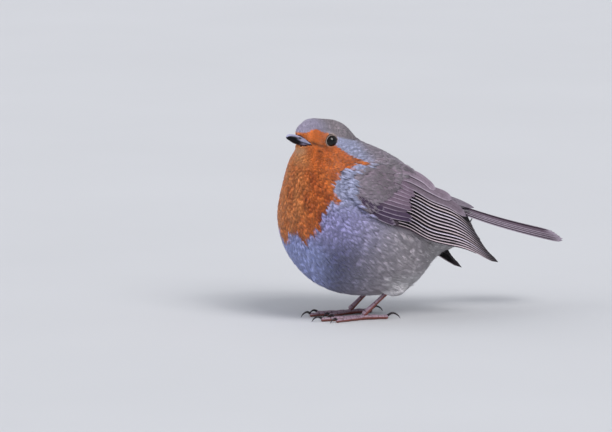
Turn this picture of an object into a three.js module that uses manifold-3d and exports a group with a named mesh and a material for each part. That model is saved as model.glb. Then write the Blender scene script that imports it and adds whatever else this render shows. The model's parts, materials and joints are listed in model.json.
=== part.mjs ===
// A European robin (Erithacus rubecula) at life size, standing still with its plumage fluffed out.
// Millimetres, +Z up. The bird faces -Y, its left side is +X, and its soles stand on Z = 0.
// The origin is moved at the end to the middle of the bounding box, at floor level.

import * as THREE from "three";
import { mergeVertices } from "three/addons/utils/BufferGeometryUtils.js";
import Module from "manifold-3d";

const wasm = await Module();
wasm.setup();

// ---------------------------------------------------------------- driving dimensions

const GAP = 0.3; // clearance between neighbouring solids
const FACET = 0.14; // how far a face of the body may stand off the true surface
const FINE = 0.04; // the same for small parts and cut edges
const DEG = Math.PI / 180;

const HEAD = {
  at: [2, -16.9, 75.7], // midway between the eyes
  yaw: 17 * DEG, // turned towards the bird's left
  pitch: 12 * DEG, // bill raised
};

const EYE = { radius: 3.0, forward: 0.7, up: 0.1, shown: 1.25 }; // shown: how far it stands out of the face

const BILL = {
  tip: -17.4, // along the head's own Y
  base: -5.0,
  culmen: [-1.0, 0.0, 0.12, 0.3, 0.7, 1.0, 1.2], // ridge height from tip to base
  gape: [-1.5, -1.6, -1.85, -2.15, -2.5, -2.9, -3.3], // where the mandibles meet
  gonys: [-1.9, -2.7, -3.35, -3.7, -4.0, -4.3, -4.5], // underside of the lower mandible
  halfWidth: [0.45, 1.2, 1.7, 2.15, 2.55, 3.0, 3.5],
  crowding: 1.25, // how far its rings crowd towards the tip
  lower: { start: 0.05, narrower: 0.9 }, // the lower mandible starts behind the tip and is narrower
};

const STANCE = 8.0; // each foot's distance from the midline
const TARSUS = {
  length: 20,
  rise: 41 * DEG,
  splay: 4 * DEG,
  foot: 1.9, // height of its lower end, in the ball of the foot
  radii: [1.47, 0.97, 0.9, 0.95, 1.05],
};

const THIGH = { at: [9.6, 12.4, 15.6], radii: [6.2, 7.4, 6.4], tilt: -20 };
const PAD = { radii: [1.75, 2.0, 1.35], height: 1.2 }; // the ball of the foot

const TOES = [
  // turn is from straight ahead, positive away from the midline; claw is measured along its curve
  { name: "inner", turn: -24 * DEG, length: 11.5, radius: 0.95, claw: 4.2 },
  { name: "middle", turn: -4 * DEG, length: 17.4, radius: 1.05, claw: 5.2 },
  { name: "outer", turn: 17 * DEG, length: 13.2, radius: 0.95, claw: 4.2 },
  { name: "hind", turn: 172 * DEG, length: 10.2, radius: 1.1, claw: 6.4 },
];
// The shape that every toe and claw shares. Heights and radii of a toe are shares of its radius.
const TOE_PATH = {
  knuckle: 3.5,
  bend: 0.6, // share of its length
  heights: [0.85, 0.8, 0.75, 0.6],
  radii: [1, 1.05, 1, 0.95, 0.8, 0.65],
};
const CLAW_PATH = {
  reach: [0, 0.35, 0.68, 0.88], // shares of the claw's length
  arch: [0, 0.24, 0.14], // rise over the toe's end, in shares of the claw's length
  heights: [0.95, 0.95, 0.75], // shares of the toe's radius
  point: 0.24, // height of the tip
  radii: [0.62, 0.55, 0.38, 0.25],
};

const TAIL = {
  root: [0, 33, 49.4],
  tip: [0, 90.4, 30.6],
  sag: 1.2, // how far its middle hangs below the straight line
  halfWidth: [5.5, 7.5, 8.8, 9.8, 10.4],
  roof: [1.4, 1.9, 2.2, 2.4, 2.2], // how far the outer feathers lie below the central pair
  thickness: [2.2, 2.0, 1.7, 1.3, 0.9],
  notch: 2.2,
  corner: { depth: 5.0, power: 6 }, // how its outer corners are rounded off
  cells: [8, 8],
};

const WING = {
  // rough outlines of the left wing from the wrist to the tip; the draping below sets its final side position
  lower: [
    [23.5, -11.5, 56],
    [27.0, -5.0, 47.5],
    [29.5, 3.5, 42.8],
    [29.5, 13.2, 40.2],
    [28.0, 22.5, 36.1],
    [24.5, 32.5, 32.3],
    [20.8, 42.6, 28.8],
    [15.4, 57.1, 22.0],
  ],
  upper: [
    [20.0, -11.0, 63.0],
    [17.5, 0.0, 67.5],
    [13.0, 12.0, 66.0],
    [10.5, 22.0, 60.2],
    [11.0, 30.0, 54.6],
    [12.8, 38.5, 48.0],
    [14.6, 47.3, 36.8],
    [15.2, 57.3, 22.5],
  ],
  hinge: [0, -10, 60], // the wrist, about which a wing droops
  droop: { left: 0, right: 5.6 * DEG },
  hugs: [0.2, 0.85], // where along its length it starts and ends leaving the trunk
  bulge: 3.4, // roundness across the wing
  flattening: 0.7, // how much of that roundness is lost towards the tip
  ease: 3, // how softly it lies down on the trunk
  proud: 1.2, // height of its outer face over the trunk
  thick: [3.2, 3.2, 3.0, 2.6, 2.2, 1.8, 1.4, 0.8],
  edge: 0.7, // thickness at its rim
  rim: { sides: 5, wrist: 6, start: 0.15 }, // how fast it thickens in from its rims
  cells: [16, 6],
};

// Blobs are ellipsoids blended into one surface. tilt turns one about the X axis, nose down if positive.
const TRUNK_BLOBS = [
  { name: "belly", at: [0, 1.7, 38.2], radii: [28.0, 32.6, 29.0], tilt: 0, blend: 0 },
  { name: "breast", at: [0, -10.3, 47.0], radii: [23.0, 22.0, 24.5], tilt: 0, blend: 8 },
  { name: "seat", at: [0, 14.5, 28.5], radii: [17.0, 17.5, 18.0], tilt: 0, blend: 7 },
  { name: "shoulders", at: [0, 5.0, 56.2], radii: [22.0, 19.5, 14.6], tilt: -30, blend: 7 },
  { name: "rump", at: [0, 30.0, 44.5], radii: [13.0, 20.0, 9.0], tilt: -32, blend: 8 },
  { name: "vent", at: [0, 31.0, 37.2], radii: [12.0, 15.5, 8.0], tilt: -14, blend: 12 },
];
const NECK_BLOBS = [
  { name: "throat", at: [1, -16.8, 63.5], radii: [14.5, 11.4, 12.3], tilt: 0, blend: 8 },
  { name: "nape", at: [0.5, -6.0, 65.5], radii: [14.5, 12.5, 10.0], tilt: -30, blend: 6 },
];
const HEAD_BLOBS = [
  { name: "cranium", at: [0, 3.9, 0.0], radii: [9.6, 11.6, 9.0], tilt: 7, blend: 4 },
  { name: "forehead", at: [0, -4.0, 1.4], radii: [8.0, 7.0, 6.8], tilt: 0, blend: 3 },
  { name: "face", at: [0, -3.0, -3.6], radii: [6.8, 6.6, 5.2], tilt: 0, blend: 3 },
];

// The boxes that are meshed, and how finely.
const BODY_MESH = { low: [-34, -40, 4], high: [34, 58, 90], cell: 4.1 };
const HEAD_MESH = { low: [-30, -38, 55], high: [30, 13, 92], cell: 2.2, bottom: 58, back: 9 };

// Where the body is parted, as planes through a point with a tilt about X.
const HEAD_CUT = { at: [2, -13.5, 66.5], pitch: 20 * DEG, yaw: 17 * DEG };
const NECK_CUT = { at: [0, -8, 58.5], pitch: 24 * DEG, yaw: 0 };

const COLOURS = {
  orange: 0xc8642a,
  crown: 0x7d7478,
  grey: 0x8d8fa8,
  belly: 0xd5d6de,
  wing: 0x6b6268,
  flight: 0x3c3438,
  bill: 0x2b2830,
  eye: 0x0a0808,
  leg: 0x7a4a42,
  claw: 0x2c2224,
};

// ---------------------------------------------------------------- small helpers

const vec = (a) => new THREE.Vector3(...a);
const material = (color, roughness = 0.8, metalness = 0) =>
  new THREE.MeshStandardMaterial({ color, roughness, metalness });

// A smooth run through a few values, read at s from 0 to 1.
function profile(values) {
  const curve = new THREE.CatmullRomCurve3(
    values.map((v, i) => new THREE.Vector3(i, v, 0)),
    false,
    "centripetal",
  );
  return (s) => {
    const at = THREE.MathUtils.clamp(s, 0, 1);
    return curve.getPoint(at).y;
  };
}

function smoothstep(s, from, to) {
  const t = THREE.MathUtils.clamp((s - from) / (to - from), 0, 1);
  return t * t * (3 - 2 * t);
}

function toSolid(geometry) {
  const bare = new THREE.BufferGeometry();
  bare.setAttribute("position", geometry.getAttribute("position").clone());
  if (geometry.index) bare.setIndex(geometry.index.clone());
  const merged = mergeVertices(bare, 1e-4);
  return new wasm.Manifold(
    new wasm.Mesh({
      numProp: 3,
      vertProperties: new Float32Array(merged.attributes.position.array),
      triVerts: new Uint32Array(merged.index.array),
    }),
  );
}

function toGeometry(solid) {
  const mesh = solid.getMesh();
  const count = mesh.numVert;
  const points = new Float32Array(count * 3);
  for (let i = 0; i < count; i++)
    points.set(mesh.vertProperties.subarray(i * mesh.numProp, i * mesh.numProp + 3), i * 3);
  const geometry = new THREE.BufferGeometry();
  geometry.setAttribute("position", new THREE.BufferAttribute(points, 3));
  geometry.setIndex(new THREE.BufferAttribute(new Uint32Array(mesh.triVerts), 1));
  geometry.computeVertexNormals();
  return geometry;
}

function largest(solid) {
  return solid.decompose().sort((a, b) => b.volume() - a.volume())[0];
}

// Closed skin over a row of rings with the same number of points; each end closes on its middle.
function loft(rings) {
  const sides = rings[0].length;
  const points = rings.flat();
  const faces = [];
  for (let i = 0; i + 1 < rings.length; i++)
    for (let j = 0; j < sides; j++) {
      const a = i * sides + j;
      const b = i * sides + ((j + 1) % sides);
      faces.push(a, b, b + sides, a, b + sides, a + sides);
    }
  for (const [ring, first, flip] of [
    [rings[0], 0, false],
    [rings[rings.length - 1], (rings.length - 1) * sides, true],
  ]) {
    const middle = ring.reduce((sum, p) => sum.add(p), new THREE.Vector3()).divideScalar(sides);
    points.push(middle);
    const m = points.length - 1;
    for (let j = 0; j < sides; j++) {
      const a = first + j;
      const b = first + ((j + 1) % sides);
      faces.push(...(flip ? [m, a, b] : [m, b, a]));
    }
  }
  const geometry = new THREE.BufferGeometry().setFromPoints(points);
  geometry.setIndex(faces);
  return geometry;
}

// Turns a loft the right way out, whichever way its rings ran.
function loftSolid(rings) {
  const geometry = loft(rings);
  const solid = toSolid(geometry);
  if (solid.volume() > 0) return solid;
  const index = geometry.index.array;
  for (let i = 0; i < index.length; i += 3) [index[i + 1], index[i + 2]] = [index[i + 2], index[i + 1]];
  return toSolid(geometry);
}

const mirrored = (solid) => solid.mirror([1, 0, 0]);

// ---------------------------------------------------------------- the blended body surface

const headFrame = new THREE.Matrix4().compose(
  vec(HEAD.at),
  new THREE.Quaternion().setFromEuler(new THREE.Euler(-HEAD.pitch, 0, HEAD.yaw, "ZYX")),
  new THREE.Vector3(1, 1, 1),
);

function readyBlob(blob, frame = new THREE.Matrix4()) {
  const own = new THREE.Matrix4().makeRotationX(blob.tilt * DEG).setPosition(...blob.at);
  return { inverse: frame.clone().multiply(own).invert(), radii: vec(blob.radii), blend: blob.blend };
}

const blobs = [
  ...TRUNK_BLOBS.map((b) => readyBlob(b)),
  ...NECK_BLOBS.map((b) => readyBlob(b)),
  ...HEAD_BLOBS.map((b) => readyBlob(b, headFrame)),
];

const scratch = new THREE.Vector3();
function blobDistance(blob, p) {
  scratch.copy(p).applyMatrix4(blob.inverse).divide(blob.radii);
  const k0 = scratch.length();
  const k1 = scratch.divide(blob.radii).length();
  return k1 < 1e-9 ? -blob.radii.x : (k0 * (k0 - 1)) / k1;
}

// Signed distance to the plumage surface, near enough for meshing: negative inside.
function body(p) {
  let d = blobDistance(blobs[0], p);
  for (const blob of blobs.slice(1)) {
    const other = blobDistance(blob, p);
    const h = Math.max(blob.blend - Math.abs(d - other), 0) / blob.blend;
    d = Math.min(d, other) - (h * h * blob.blend) / 4;
  }
  return d;
}

function gradient(field, p, step = 0.05) {
  const g = new THREE.Vector3();
  for (const axis of ["x", "y", "z"]) {
    const q = p.clone();
    q[axis] += step;
    const high = field(q);
    q[axis] -= 2 * step;
    g[axis] = (high - field(q)) / (2 * step);
  }
  return g;
}

// Surface nets: one vertex in each grid cell that the surface crosses, pulled onto the surface.
function surfaceOf(field, low, high, cell) {
  const size = [0, 1, 2].map((i) => Math.ceil((high[i] - low[i]) / cell) + 1);
  const at = (i, j, k) => i + size[0] * (j + size[1] * k);
  const values = new Float32Array(size[0] * size[1] * size[2]);
  const p = new THREE.Vector3();
  for (let k = 0; k < size[2]; k++)
    for (let j = 0; j < size[1]; j++)
      for (let i = 0; i < size[0]; i++)
        values[at(i, j, k)] = field(p.set(low[0] + i * cell, low[1] + j * cell, low[2] + k * cell));
  const corners = [];
  for (let n = 0; n < 8; n++) corners.push([n & 1, (n >> 1) & 1, (n >> 2) & 1]);
  const edges = [];
  for (let a = 0; a < 8; a++)
    for (const bit of [1, 2, 4]) if (!(a & bit)) edges.push([a, a | bit]);
  const cellVertex = new Map();
  const points = [];
  for (let k = 0; k + 1 < size[2]; k++)
    for (let j = 0; j + 1 < size[1]; j++)
      for (let i = 0; i + 1 < size[0]; i++) {
        const v = corners.map((c) => values[at(i + c[0], j + c[1], k + c[2])]);
        const middle = new THREE.Vector3();
        let crossings = 0;
        for (const [a, b] of edges) {
          if (v[a] < 0 === v[b] < 0) continue;
          const t = v[a] / (v[a] - v[b]);
          const [ca, cb] = [corners[a], corners[b]];
          middle.add(new THREE.Vector3(...[0, 1, 2].map((n) => ca[n] + t * (cb[n] - ca[n]))));
          crossings++;
        }
        if (!crossings) continue;
        middle.divideScalar(crossings).add(new THREE.Vector3(i, j, k)).multiplyScalar(cell).add(vec(low));
        for (let pull = 0; pull < 2; pull++) {
          const g = gradient(field, middle);
          middle.addScaledVector(g, -field(middle) / g.lengthSq());
        }
        cellVertex.set(at(i, j, k), points.length);
        points.push(middle);
      }
  const faces = [];
  const steps = [
    [1, size[0], size[0] * size[1]],
    [size[0], size[0] * size[1], 1],
    [size[0] * size[1], 1, size[0]],
  ];
  for (let k = 1; k + 1 < size[2]; k++)
    for (let j = 1; j + 1 < size[1]; j++)
      for (let i = 1; i + 1 < size[0]; i++)
        for (const [along, u, w] of steps) {
          const n = at(i, j, k);
          const inside = values[n] < 0;
          if (inside === values[n + along] < 0) continue;
          const quad = [n, n - u, n - u - w, n - w].map((c) => cellVertex.get(c));
          if (!inside) quad.reverse();
          const [a, b, c, d] = quad;
          const straight = points[a].distanceTo(points[c]) < points[b].distanceTo(points[d]);
          faces.push(...(straight ? [a, b, c, a, c, d] : [a, b, d, b, c, d]));
        }
  const geometry = new THREE.BufferGeometry().setFromPoints(points);
  geometry.setIndex(faces);
  const solid = toSolid(geometry);
  if (solid.volume() > 0) return solid;
  for (let i = 0; i < faces.length; i += 3) [faces[i + 1], faces[i + 2]] = [faces[i + 2], faces[i + 1]];
  geometry.setIndex(faces);
  return toSolid(geometry);
}

// A big block whose lower face is the cut plane, moved along its own up by offset.
function above(cut, offset) {
  const side = 160;
  const block = new THREE.BoxGeometry(side, side, side).translate(0, 0, side / 2 + offset);
  block.applyMatrix4(
    new THREE.Matrix4().compose(
      vec(cut.at),
      new THREE.Quaternion().setFromEuler(new THREE.Euler(cut.pitch, 0, cut.yaw, "ZYX")),
      new THREE.Vector3(1, 1, 1),
    ),
  );
  return toSolid(block);
}

// ---------------------------------------------------------------- wings

const curveOf = (points) => new THREE.CatmullRomCurve3(points, false, "centripetal");

// Made as a left wing, which serves as a right one once mirrored, because the trunk is symmetrical.
function wingSolid(droop) {
  const hinge = vec(WING.hinge);
  const turn = new THREE.Quaternion().setFromAxisAngle(new THREE.Vector3(1, 0, 0), -droop);
  const drooped = (a) => vec(a).sub(hinge).applyQuaternion(turn).add(hinge);
  const lower = curveOf(WING.lower.map(drooped));
  const upper = curveOf(WING.upper.map(drooped));
  const thickness = profile(WING.thick);
  const [along, across] = WING.cells;
  const rough = (s, t) => {
    const [a, b] = [lower.getPoint(s), upper.getPoint(s)];
    const out = new THREE.Vector3(b.z - a.z, 0, a.x - b.x).normalize();
    const round = WING.bulge * 4 * t * (1 - t) * (1 - WING.flattening * s);
    return a.lerp(b, t).addScaledVector(out, round);
  };
  const outward = (s, t) => {
    const e = 0.02;
    const ds = rough(Math.min(s + e, 1), t).sub(rough(Math.max(s - e, 0), t));
    const st = Math.min(s, 0.97);
    const dt = rough(st, t + e).sub(rough(st, t - e));
    return ds.cross(dt).normalize().negate();
  };
  // The folded wing hugs the trunk near the shoulder; further back it is only kept clear of it.
  const draped = (s, t) => {
    const p = rough(s, t);
    const n = outward(s, t);
    if (n.x < 0) n.negate();
    const free = smoothstep(s, WING.hugs[0], WING.hugs[1]);
    const ease = WING.ease;
    for (let pass = 0; pass < 3; pass++) {
      const sink = WING.proud - body(p);
      const clear = sink > ease ? sink : sink < -ease ? 0 : ((sink + ease) * (sink + ease)) / (4 * ease);
      p.addScaledVector(n, THREE.MathUtils.lerp(sink, pass ? Math.max(sink, 0) : clear, free));
    }
    return [p, n];
  };
  const rings = [];
  for (let i = 0; i <= along; i++) {
    const s = i / along;
    const [outer, inner] = [[], []];
    for (let j = 0; j <= across; j++) {
      const t = j / across;
      const [p, n] = draped(s, t);
      const fromSides = Math.min(1, WING.rim.sides * Math.min(t, 1 - t));
      const rim = fromSides * Math.min(1, WING.rim.wrist * s + WING.rim.start);
      const deep = THREE.MathUtils.lerp(WING.edge, thickness(s), rim);
      outer.push(p.clone());
      inner.push(p.clone().addScaledVector(n, -deep));
    }
    rings.push([...outer, ...inner.reverse()]);
  }
  return loftSolid(rings);
}

// ---------------------------------------------------------------- tail

function tailSolid(grow) {
  const [root, tip] = [vec(TAIL.root), vec(TAIL.tip)];
  const [width, roof, thick] = [TAIL.halfWidth, TAIL.roof, TAIL.thickness].map(profile);
  const along = tip.clone().sub(root);
  const up = new THREE.Vector3(0, -along.z, along.y).normalize();
  const [steps, across] = TAIL.cells;
  const rings = [];
  for (let i = 0; i <= steps; i++) {
    const [top, under] = [[], []];
    for (let j = 0; j <= across; j++) {
      const side = (2 * j) / across - 1;
      const corner = Math.pow(Math.abs(side), TAIL.corner.power) * TAIL.corner.depth;
      const reach = 1 - (TAIL.notch * (1 - Math.abs(side)) + corner) / along.length();
      const s = (i / steps) * reach;
      const middle = root.clone().addScaledVector(along, s);
      middle.addScaledVector(up, -TAIL.sag * Math.sin(Math.PI * s));
      middle.x += side * (width(s) + grow);
      middle.addScaledVector(up, -roof(s) * side * side);
      const half = thick(s) / 2 + grow;
      top.push(middle.clone().addScaledVector(up, half));
      under.push(middle.clone().addScaledVector(up, -half));
    }
    rings.push([...top, ...under.reverse()]);
  }
  return loftSolid(rings);
}

// ---------------------------------------------------------------- bill, eyes

const crowded = (share, from) => from + (1 - from) * Math.pow(share, BILL.crowding);

function mandible(topOf, bottomOf, from, grow) {
  const width = profile(BILL.halfWidth);
  const [steps, sides] = [7, 10];
  const rings = [];
  for (let i = 0; i <= steps; i++) {
    const s = crowded(i / steps, from);
    const y = THREE.MathUtils.lerp(BILL.tip, BILL.base, s);
    const [top, bottom] = [topOf(s), bottomOf(s)];
    const ring = [];
    for (let j = 0; j < sides; j++) {
      const a = (2 * Math.PI * j) / sides;
      const x = Math.cos(a) * (width(s) + grow);
      const z = (top + bottom) / 2 + Math.sin(a) * ((top - bottom) / 2 + grow);
      ring.push(new THREE.Vector3(x, y, z));
    }
    rings.push(ring);
  }
  if (grow) rings[0].forEach((p) => (p.y -= grow));
  if (grow) rings[steps].forEach((p) => (p.y += grow));
  return rings;
}

const headPoints = (rings) => rings.map((ring) => ring.map((p) => p.applyMatrix4(headFrame)));
const culmen = profile(BILL.culmen);
const gape = profile(BILL.gape);
const gonys = profile(BILL.gonys);

// The mandibles close on a D: each is flat where it meets the other.
const upperRings = (grow) =>
  mandible((s) => culmen(s), (s) => 2 * gape(s) - culmen(s), 0, grow).map((ring, i, all) => {
    const s = crowded(i / (all.length - 1), 0);
    return ring.map((p) => p.setZ(Math.max(p.z, gape(s) + GAP / 2 - grow)));
  });
const lowerRings = (grow) =>
  mandible((s) => 2 * gape(s) - gonys(s), (s) => gonys(s), BILL.lower.start, grow).map((ring, i, all) => {
    const s = crowded(i / (all.length - 1), BILL.lower.start);
    const top = gape(s) - GAP / 2 + grow;
    return ring.map((p) => p.setZ(Math.min(p.z, top)).setX(p.x * BILL.lower.narrower));
  });

// Each eye is found by walking in from its own side of the head until the face is met.
function eyeCentre(side) {
  const at = (reach) =>
    new THREE.Vector3(side * reach, -EYE.forward, EYE.up).applyMatrix4(headFrame);
  let reach = 14;
  while (body(at(reach)) > 0) reach -= 0.02;
  const out = gradient(body, at(reach)).normalize();
  const sideways = at(1).sub(at(0)).normalize();
  return at(reach).addScaledVector(out.add(sideways).normalize(), EYE.shown - EYE.radius);
}

function ball(radius, centre) {
  return toSolid(new THREE.SphereGeometry(radius, 12, 9).translate(...centre.toArray()));
}

// ---------------------------------------------------------------- legs and feet

// Rings round a path, no lower than the floor, so that each toe stands on a small flat.
function pathSolid(points, radii, sides = 8, flatten = true) {
  const curve = new THREE.CatmullRomCurve3(points, false, "centripetal");
  const radius = profile(radii);
  const steps = 6;
  const rings = [];
  for (let i = 0; i <= steps; i++) {
    const s = i / steps;
    const p = curve.getPoint(s);
    const t = curve.getTangent(s);
    const side = new THREE.Vector3(t.y, -t.x, 0).normalize();
    const up = side.clone().cross(t).normalize();
    const ring = [];
    for (let j = 0; j < sides; j++) {
      const a = (2 * Math.PI * (j + 0.5)) / sides;
      const q = p.clone().addScaledVector(side, Math.cos(a) * radius(s));
      q.addScaledVector(up, Math.sin(a) * radius(s));
      if (flatten) q.z = Math.max(q.z, 0);
      ring.push(q);
    }
    rings.push(ring);
  }
  return loftSolid(rings);
}

function padSolid(side, grow) {
  const pad = new THREE.SphereGeometry(1, 12, 8).scale(...PAD.radii.map((r) => r + grow));
  return toSolid(pad.translate(side * STANCE, 0, PAD.height));
}

function toeAt(side, toe, reach, height) {
  const turn = toe.turn;
  return new THREE.Vector3(side * (STANCE + Math.sin(turn) * reach), -Math.cos(turn) * reach, height);
}

function toeSolid(side, toe) {
  const reaches = [0, TOE_PATH.knuckle, toe.length * TOE_PATH.bend, toe.length];
  const path = reaches.map((reach, i) => toeAt(side, toe, reach, toe.radius * TOE_PATH.heights[i]));
  return pathSolid(path, TOE_PATH.radii.map((r) => r * toe.radius));
}

function clawSolid(side, toe) {
  const from = toe.length + GAP;
  const heights = CLAW_PATH.arch.map((rise, i) => toe.radius * CLAW_PATH.heights[i] + rise * toe.claw);
  heights.push(CLAW_PATH.point);
  const path = heights.map((height, i) => toeAt(side, toe, from + CLAW_PATH.reach[i] * toe.claw, height));
  return pathSolid(path, CLAW_PATH.radii, 5);
}

function footSolid(side) {
  let foot = padSolid(side, 0).intersect(toSolid(new THREE.BoxGeometry(60, 60, 20).translate(0, 0, 10)));
  for (const toe of TOES) foot = foot.add(toeSolid(side, toe));
  return foot;
}

function tarsusSolid(side, grow) {
  const root = new THREE.Vector3(side * STANCE, 0, TARSUS.foot);
  const run = Math.cos(TARSUS.rise);
  const lean = new THREE.Vector3(side * Math.sin(TARSUS.splay) * run, run, Math.sin(TARSUS.rise)).normalize();
  const path = [0, 0.33, 0.66, 1].map((s) => root.clone().addScaledVector(lean, s * TARSUS.length));
  return pathSolid(path, TARSUS.radii.map((r) => r + grow), 8, !grow);
}

function thighSolid(side, grow) {
  const ball = new THREE.SphereGeometry(1, 14, 9).scale(...THIGH.radii.map((r) => r + grow));
  ball.rotateX(THIGH.tilt * DEG).translate(side * THIGH.at[0], THIGH.at[1], THIGH.at[2]);
  return toSolid(ball);
}

// ---------------------------------------------------------------- assembly

const meshed = (field, box) => surfaceOf(field, box.low, box.high, box.cell).simplify(FACET);
const wholeBody = meshed(body, BODY_MESH);
const headOnly = (p) => Math.max(body(p), HEAD_MESH.bottom - p.z, p.y - HEAD_MESH.back);
const fineHead = meshed(headOnly, HEAD_MESH);

const solids = new Map();
const add = (name, solid, look) => solids.set(name, [solid, look]);

const wings = { left: wingSolid(WING.droop.left), right: mirrored(wingSolid(WING.droop.right)) };
const clearance = toSolid(new THREE.OctahedronGeometry(GAP * 1.25));
const wingsGrown = wings.left.minkowskiSum(clearance).add(wings.right.minkowskiSum(clearance));
const tail = tailSolid(0);
const tailGrown = tailSolid(GAP);

let trunk = wholeBody.subtract(above(NECK_CUT, -GAP / 2));
trunk = trunk.subtract(wingsGrown).subtract(tailGrown);
for (const side of [1, -1]) trunk = trunk.subtract(thighSolid(side, GAP)).subtract(tarsusSolid(side, GAP));
trunk = largest(trunk);

let neck = wholeBody.intersect(above(NECK_CUT, GAP / 2)).subtract(above(HEAD_CUT, -GAP / 2));
neck = largest(neck.subtract(wingsGrown));

let head = fineHead.intersect(above(HEAD_CUT, GAP / 2));
const upperGrown = loftSolid(headPoints(upperRings(GAP)));
const lowerGrown = loftSolid(headPoints(lowerRings(GAP)));
head = head.subtract(upperGrown).subtract(lowerGrown);
for (const side of [1, -1]) head = head.subtract(ball(EYE.radius + GAP, eyeCentre(side)));
head = largest(head);

add("trunk", trunk.simplify(FINE), material(COLOURS.belly));
add("neck", neck.simplify(FINE), material(COLOURS.orange));
add("head", head.simplify(FINE), material(COLOURS.orange));
add("bill_upper", loftSolid(headPoints(upperRings(0))), material(COLOURS.bill, 0.35));
add("bill_lower", loftSolid(headPoints(lowerRings(0))), material(COLOURS.bill, 0.35));
add("eye_left", ball(EYE.radius, eyeCentre(1)), material(COLOURS.eye, 0.05));
add("eye_right", ball(EYE.radius, eyeCentre(-1)), material(COLOURS.eye, 0.05));
add("tail", tail, material(COLOURS.flight));

for (const [side, word] of [
  [1, "left"],
  [-1, "right"],
]) {
  const tarsusGrown = tarsusSolid(side, GAP);
  const tarsus = tarsusSolid(side, 0).subtract(padSolid(side, GAP));
  const thigh = largest(thighSolid(side, 0).subtract(tarsusGrown));
  const foot = footSolid(side).subtract(tarsusSolid(side, GAP / 2));
  add(`wing_${word}`, largest(wings[word].subtract(tailGrown)).simplify(FINE), material(COLOURS.wing));
  add(`thigh_${word}`, thigh.simplify(FINE), material(COLOURS.belly));
  add(`tarsus_${word}`, largest(tarsus), material(COLOURS.leg, 0.6));
  add(`foot_${word}`, foot.simplify(FINE), material(COLOURS.leg, 0.6));
  for (const toe of TOES) add(`claw_${toe.name}_${word}`, clawSolid(side, toe), material(COLOURS.claw, 0.4));
}

const bird = new THREE.Group();
for (const [name, [solid, look]] of solids) {
  const mesh = new THREE.Mesh(toGeometry(solid), look);
  mesh.name = name;
  bird.add(mesh);
}
const box = new THREE.Box3().setFromObject(bird);
const middle = box.getCenter(new THREE.Vector3());
bird.position.set(-middle.x, -middle.y, -box.min.z);

export default bird;
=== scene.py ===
"""A European robin standing on the floor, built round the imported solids.

One smooth skin stands for the flesh, a coat of feather tufts grows from it, the wings and the tail are laid
feather by feather, and the eyes, bill, legs and claws are modelled closely. Lengths are in millimetres in the
stance frame, whose origin lies on the floor midway between the feet, with -Y ahead and +X to the bird's left.
"""

import json
import math

import bmesh
import bpy
import numpy as np
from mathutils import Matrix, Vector
from mathutils.bvhtree import BVHTree
from mathutils.kdtree import KDTree


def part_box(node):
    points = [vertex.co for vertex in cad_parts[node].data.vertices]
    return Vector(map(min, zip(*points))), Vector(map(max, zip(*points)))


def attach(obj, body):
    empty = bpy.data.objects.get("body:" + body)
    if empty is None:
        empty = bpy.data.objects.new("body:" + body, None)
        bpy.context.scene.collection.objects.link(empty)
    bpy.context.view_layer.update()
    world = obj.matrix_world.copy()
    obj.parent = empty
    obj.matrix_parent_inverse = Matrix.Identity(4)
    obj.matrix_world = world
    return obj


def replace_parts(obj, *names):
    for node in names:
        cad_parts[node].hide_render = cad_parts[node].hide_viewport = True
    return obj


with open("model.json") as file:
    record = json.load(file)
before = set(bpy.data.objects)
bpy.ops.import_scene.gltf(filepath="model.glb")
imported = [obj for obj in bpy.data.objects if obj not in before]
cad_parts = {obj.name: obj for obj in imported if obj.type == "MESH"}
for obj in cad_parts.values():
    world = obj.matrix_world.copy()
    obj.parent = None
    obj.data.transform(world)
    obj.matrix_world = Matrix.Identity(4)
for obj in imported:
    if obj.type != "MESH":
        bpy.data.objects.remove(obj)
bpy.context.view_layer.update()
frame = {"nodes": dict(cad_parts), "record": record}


def srgb(red, green, blue):
    """A colour as seen on a screen, from 0 to 255, as linear light."""
    share = np.array([red, green, blue]) / 255
    return np.where(share <= 0.04045, share / 12.92, ((share + 0.055) / 1.055) ** 2.4)


# ---------------------------------------------------------------- sizes and places

MM = 0.001
SIDES = ((1, "left"), (-1, "right"))
SOLES = [mount["pos_m"] for mount in frame["record"]["mounts"]]
ORIGIN = np.mean(SOLES, axis=0)

HEAD_AT = np.array([2.0, -16.9, 75.7])
HEAD_YAW, HEAD_PITCH = math.radians(17), math.radians(-12)

BILL = {
    # from the tip back to the corner of the gape, in the head's frame
    "y": [-17.35, -17.1, -16.5, -15.4, -14.2, -13.0, -11.9, -11.0, -10.2, -9.5, -8.9, -8.3, -7.7],
    "culmen": [-1.3, -0.75, -0.25, 0.05, 0.14, 0.12, 0.08, 0.05, 0.0, -0.2, -0.95, -1.45, -2.0],
    "gape": [-1.5, -1.5, -1.52, -1.6, -1.75, -1.95, -2.2, -2.45, -2.6, -2.7, -2.75, -2.75, -2.75],
    "gonys": [-1.65, -1.95, -2.3, -2.68, -3.1, -3.5, -3.65, -3.72, -3.8, -3.85, -3.4, -3.1, -3.0],
    "half_width": [0.12, 0.42, 0.78, 1.2, 1.55, 1.85, 2.15, 2.5, 2.95, 3.75, 4.4, 4.75, 5.0],
}
NOSTRIL = {
    "y": -11.4, "side": 1.55, "height": -0.95, "half_length": 0.9, "turn": math.radians(35),
    "half_turn": math.radians(11), "depth": 0.5,
}

EYE_RADIUS = 3.0
EYE_SHOWN = 1.25
LID_RADIUS = 0.16
LID_OUT = 0.17  # from the opening's edge to the middle of the lid's rim
LID_SUNK = -0.05

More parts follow.
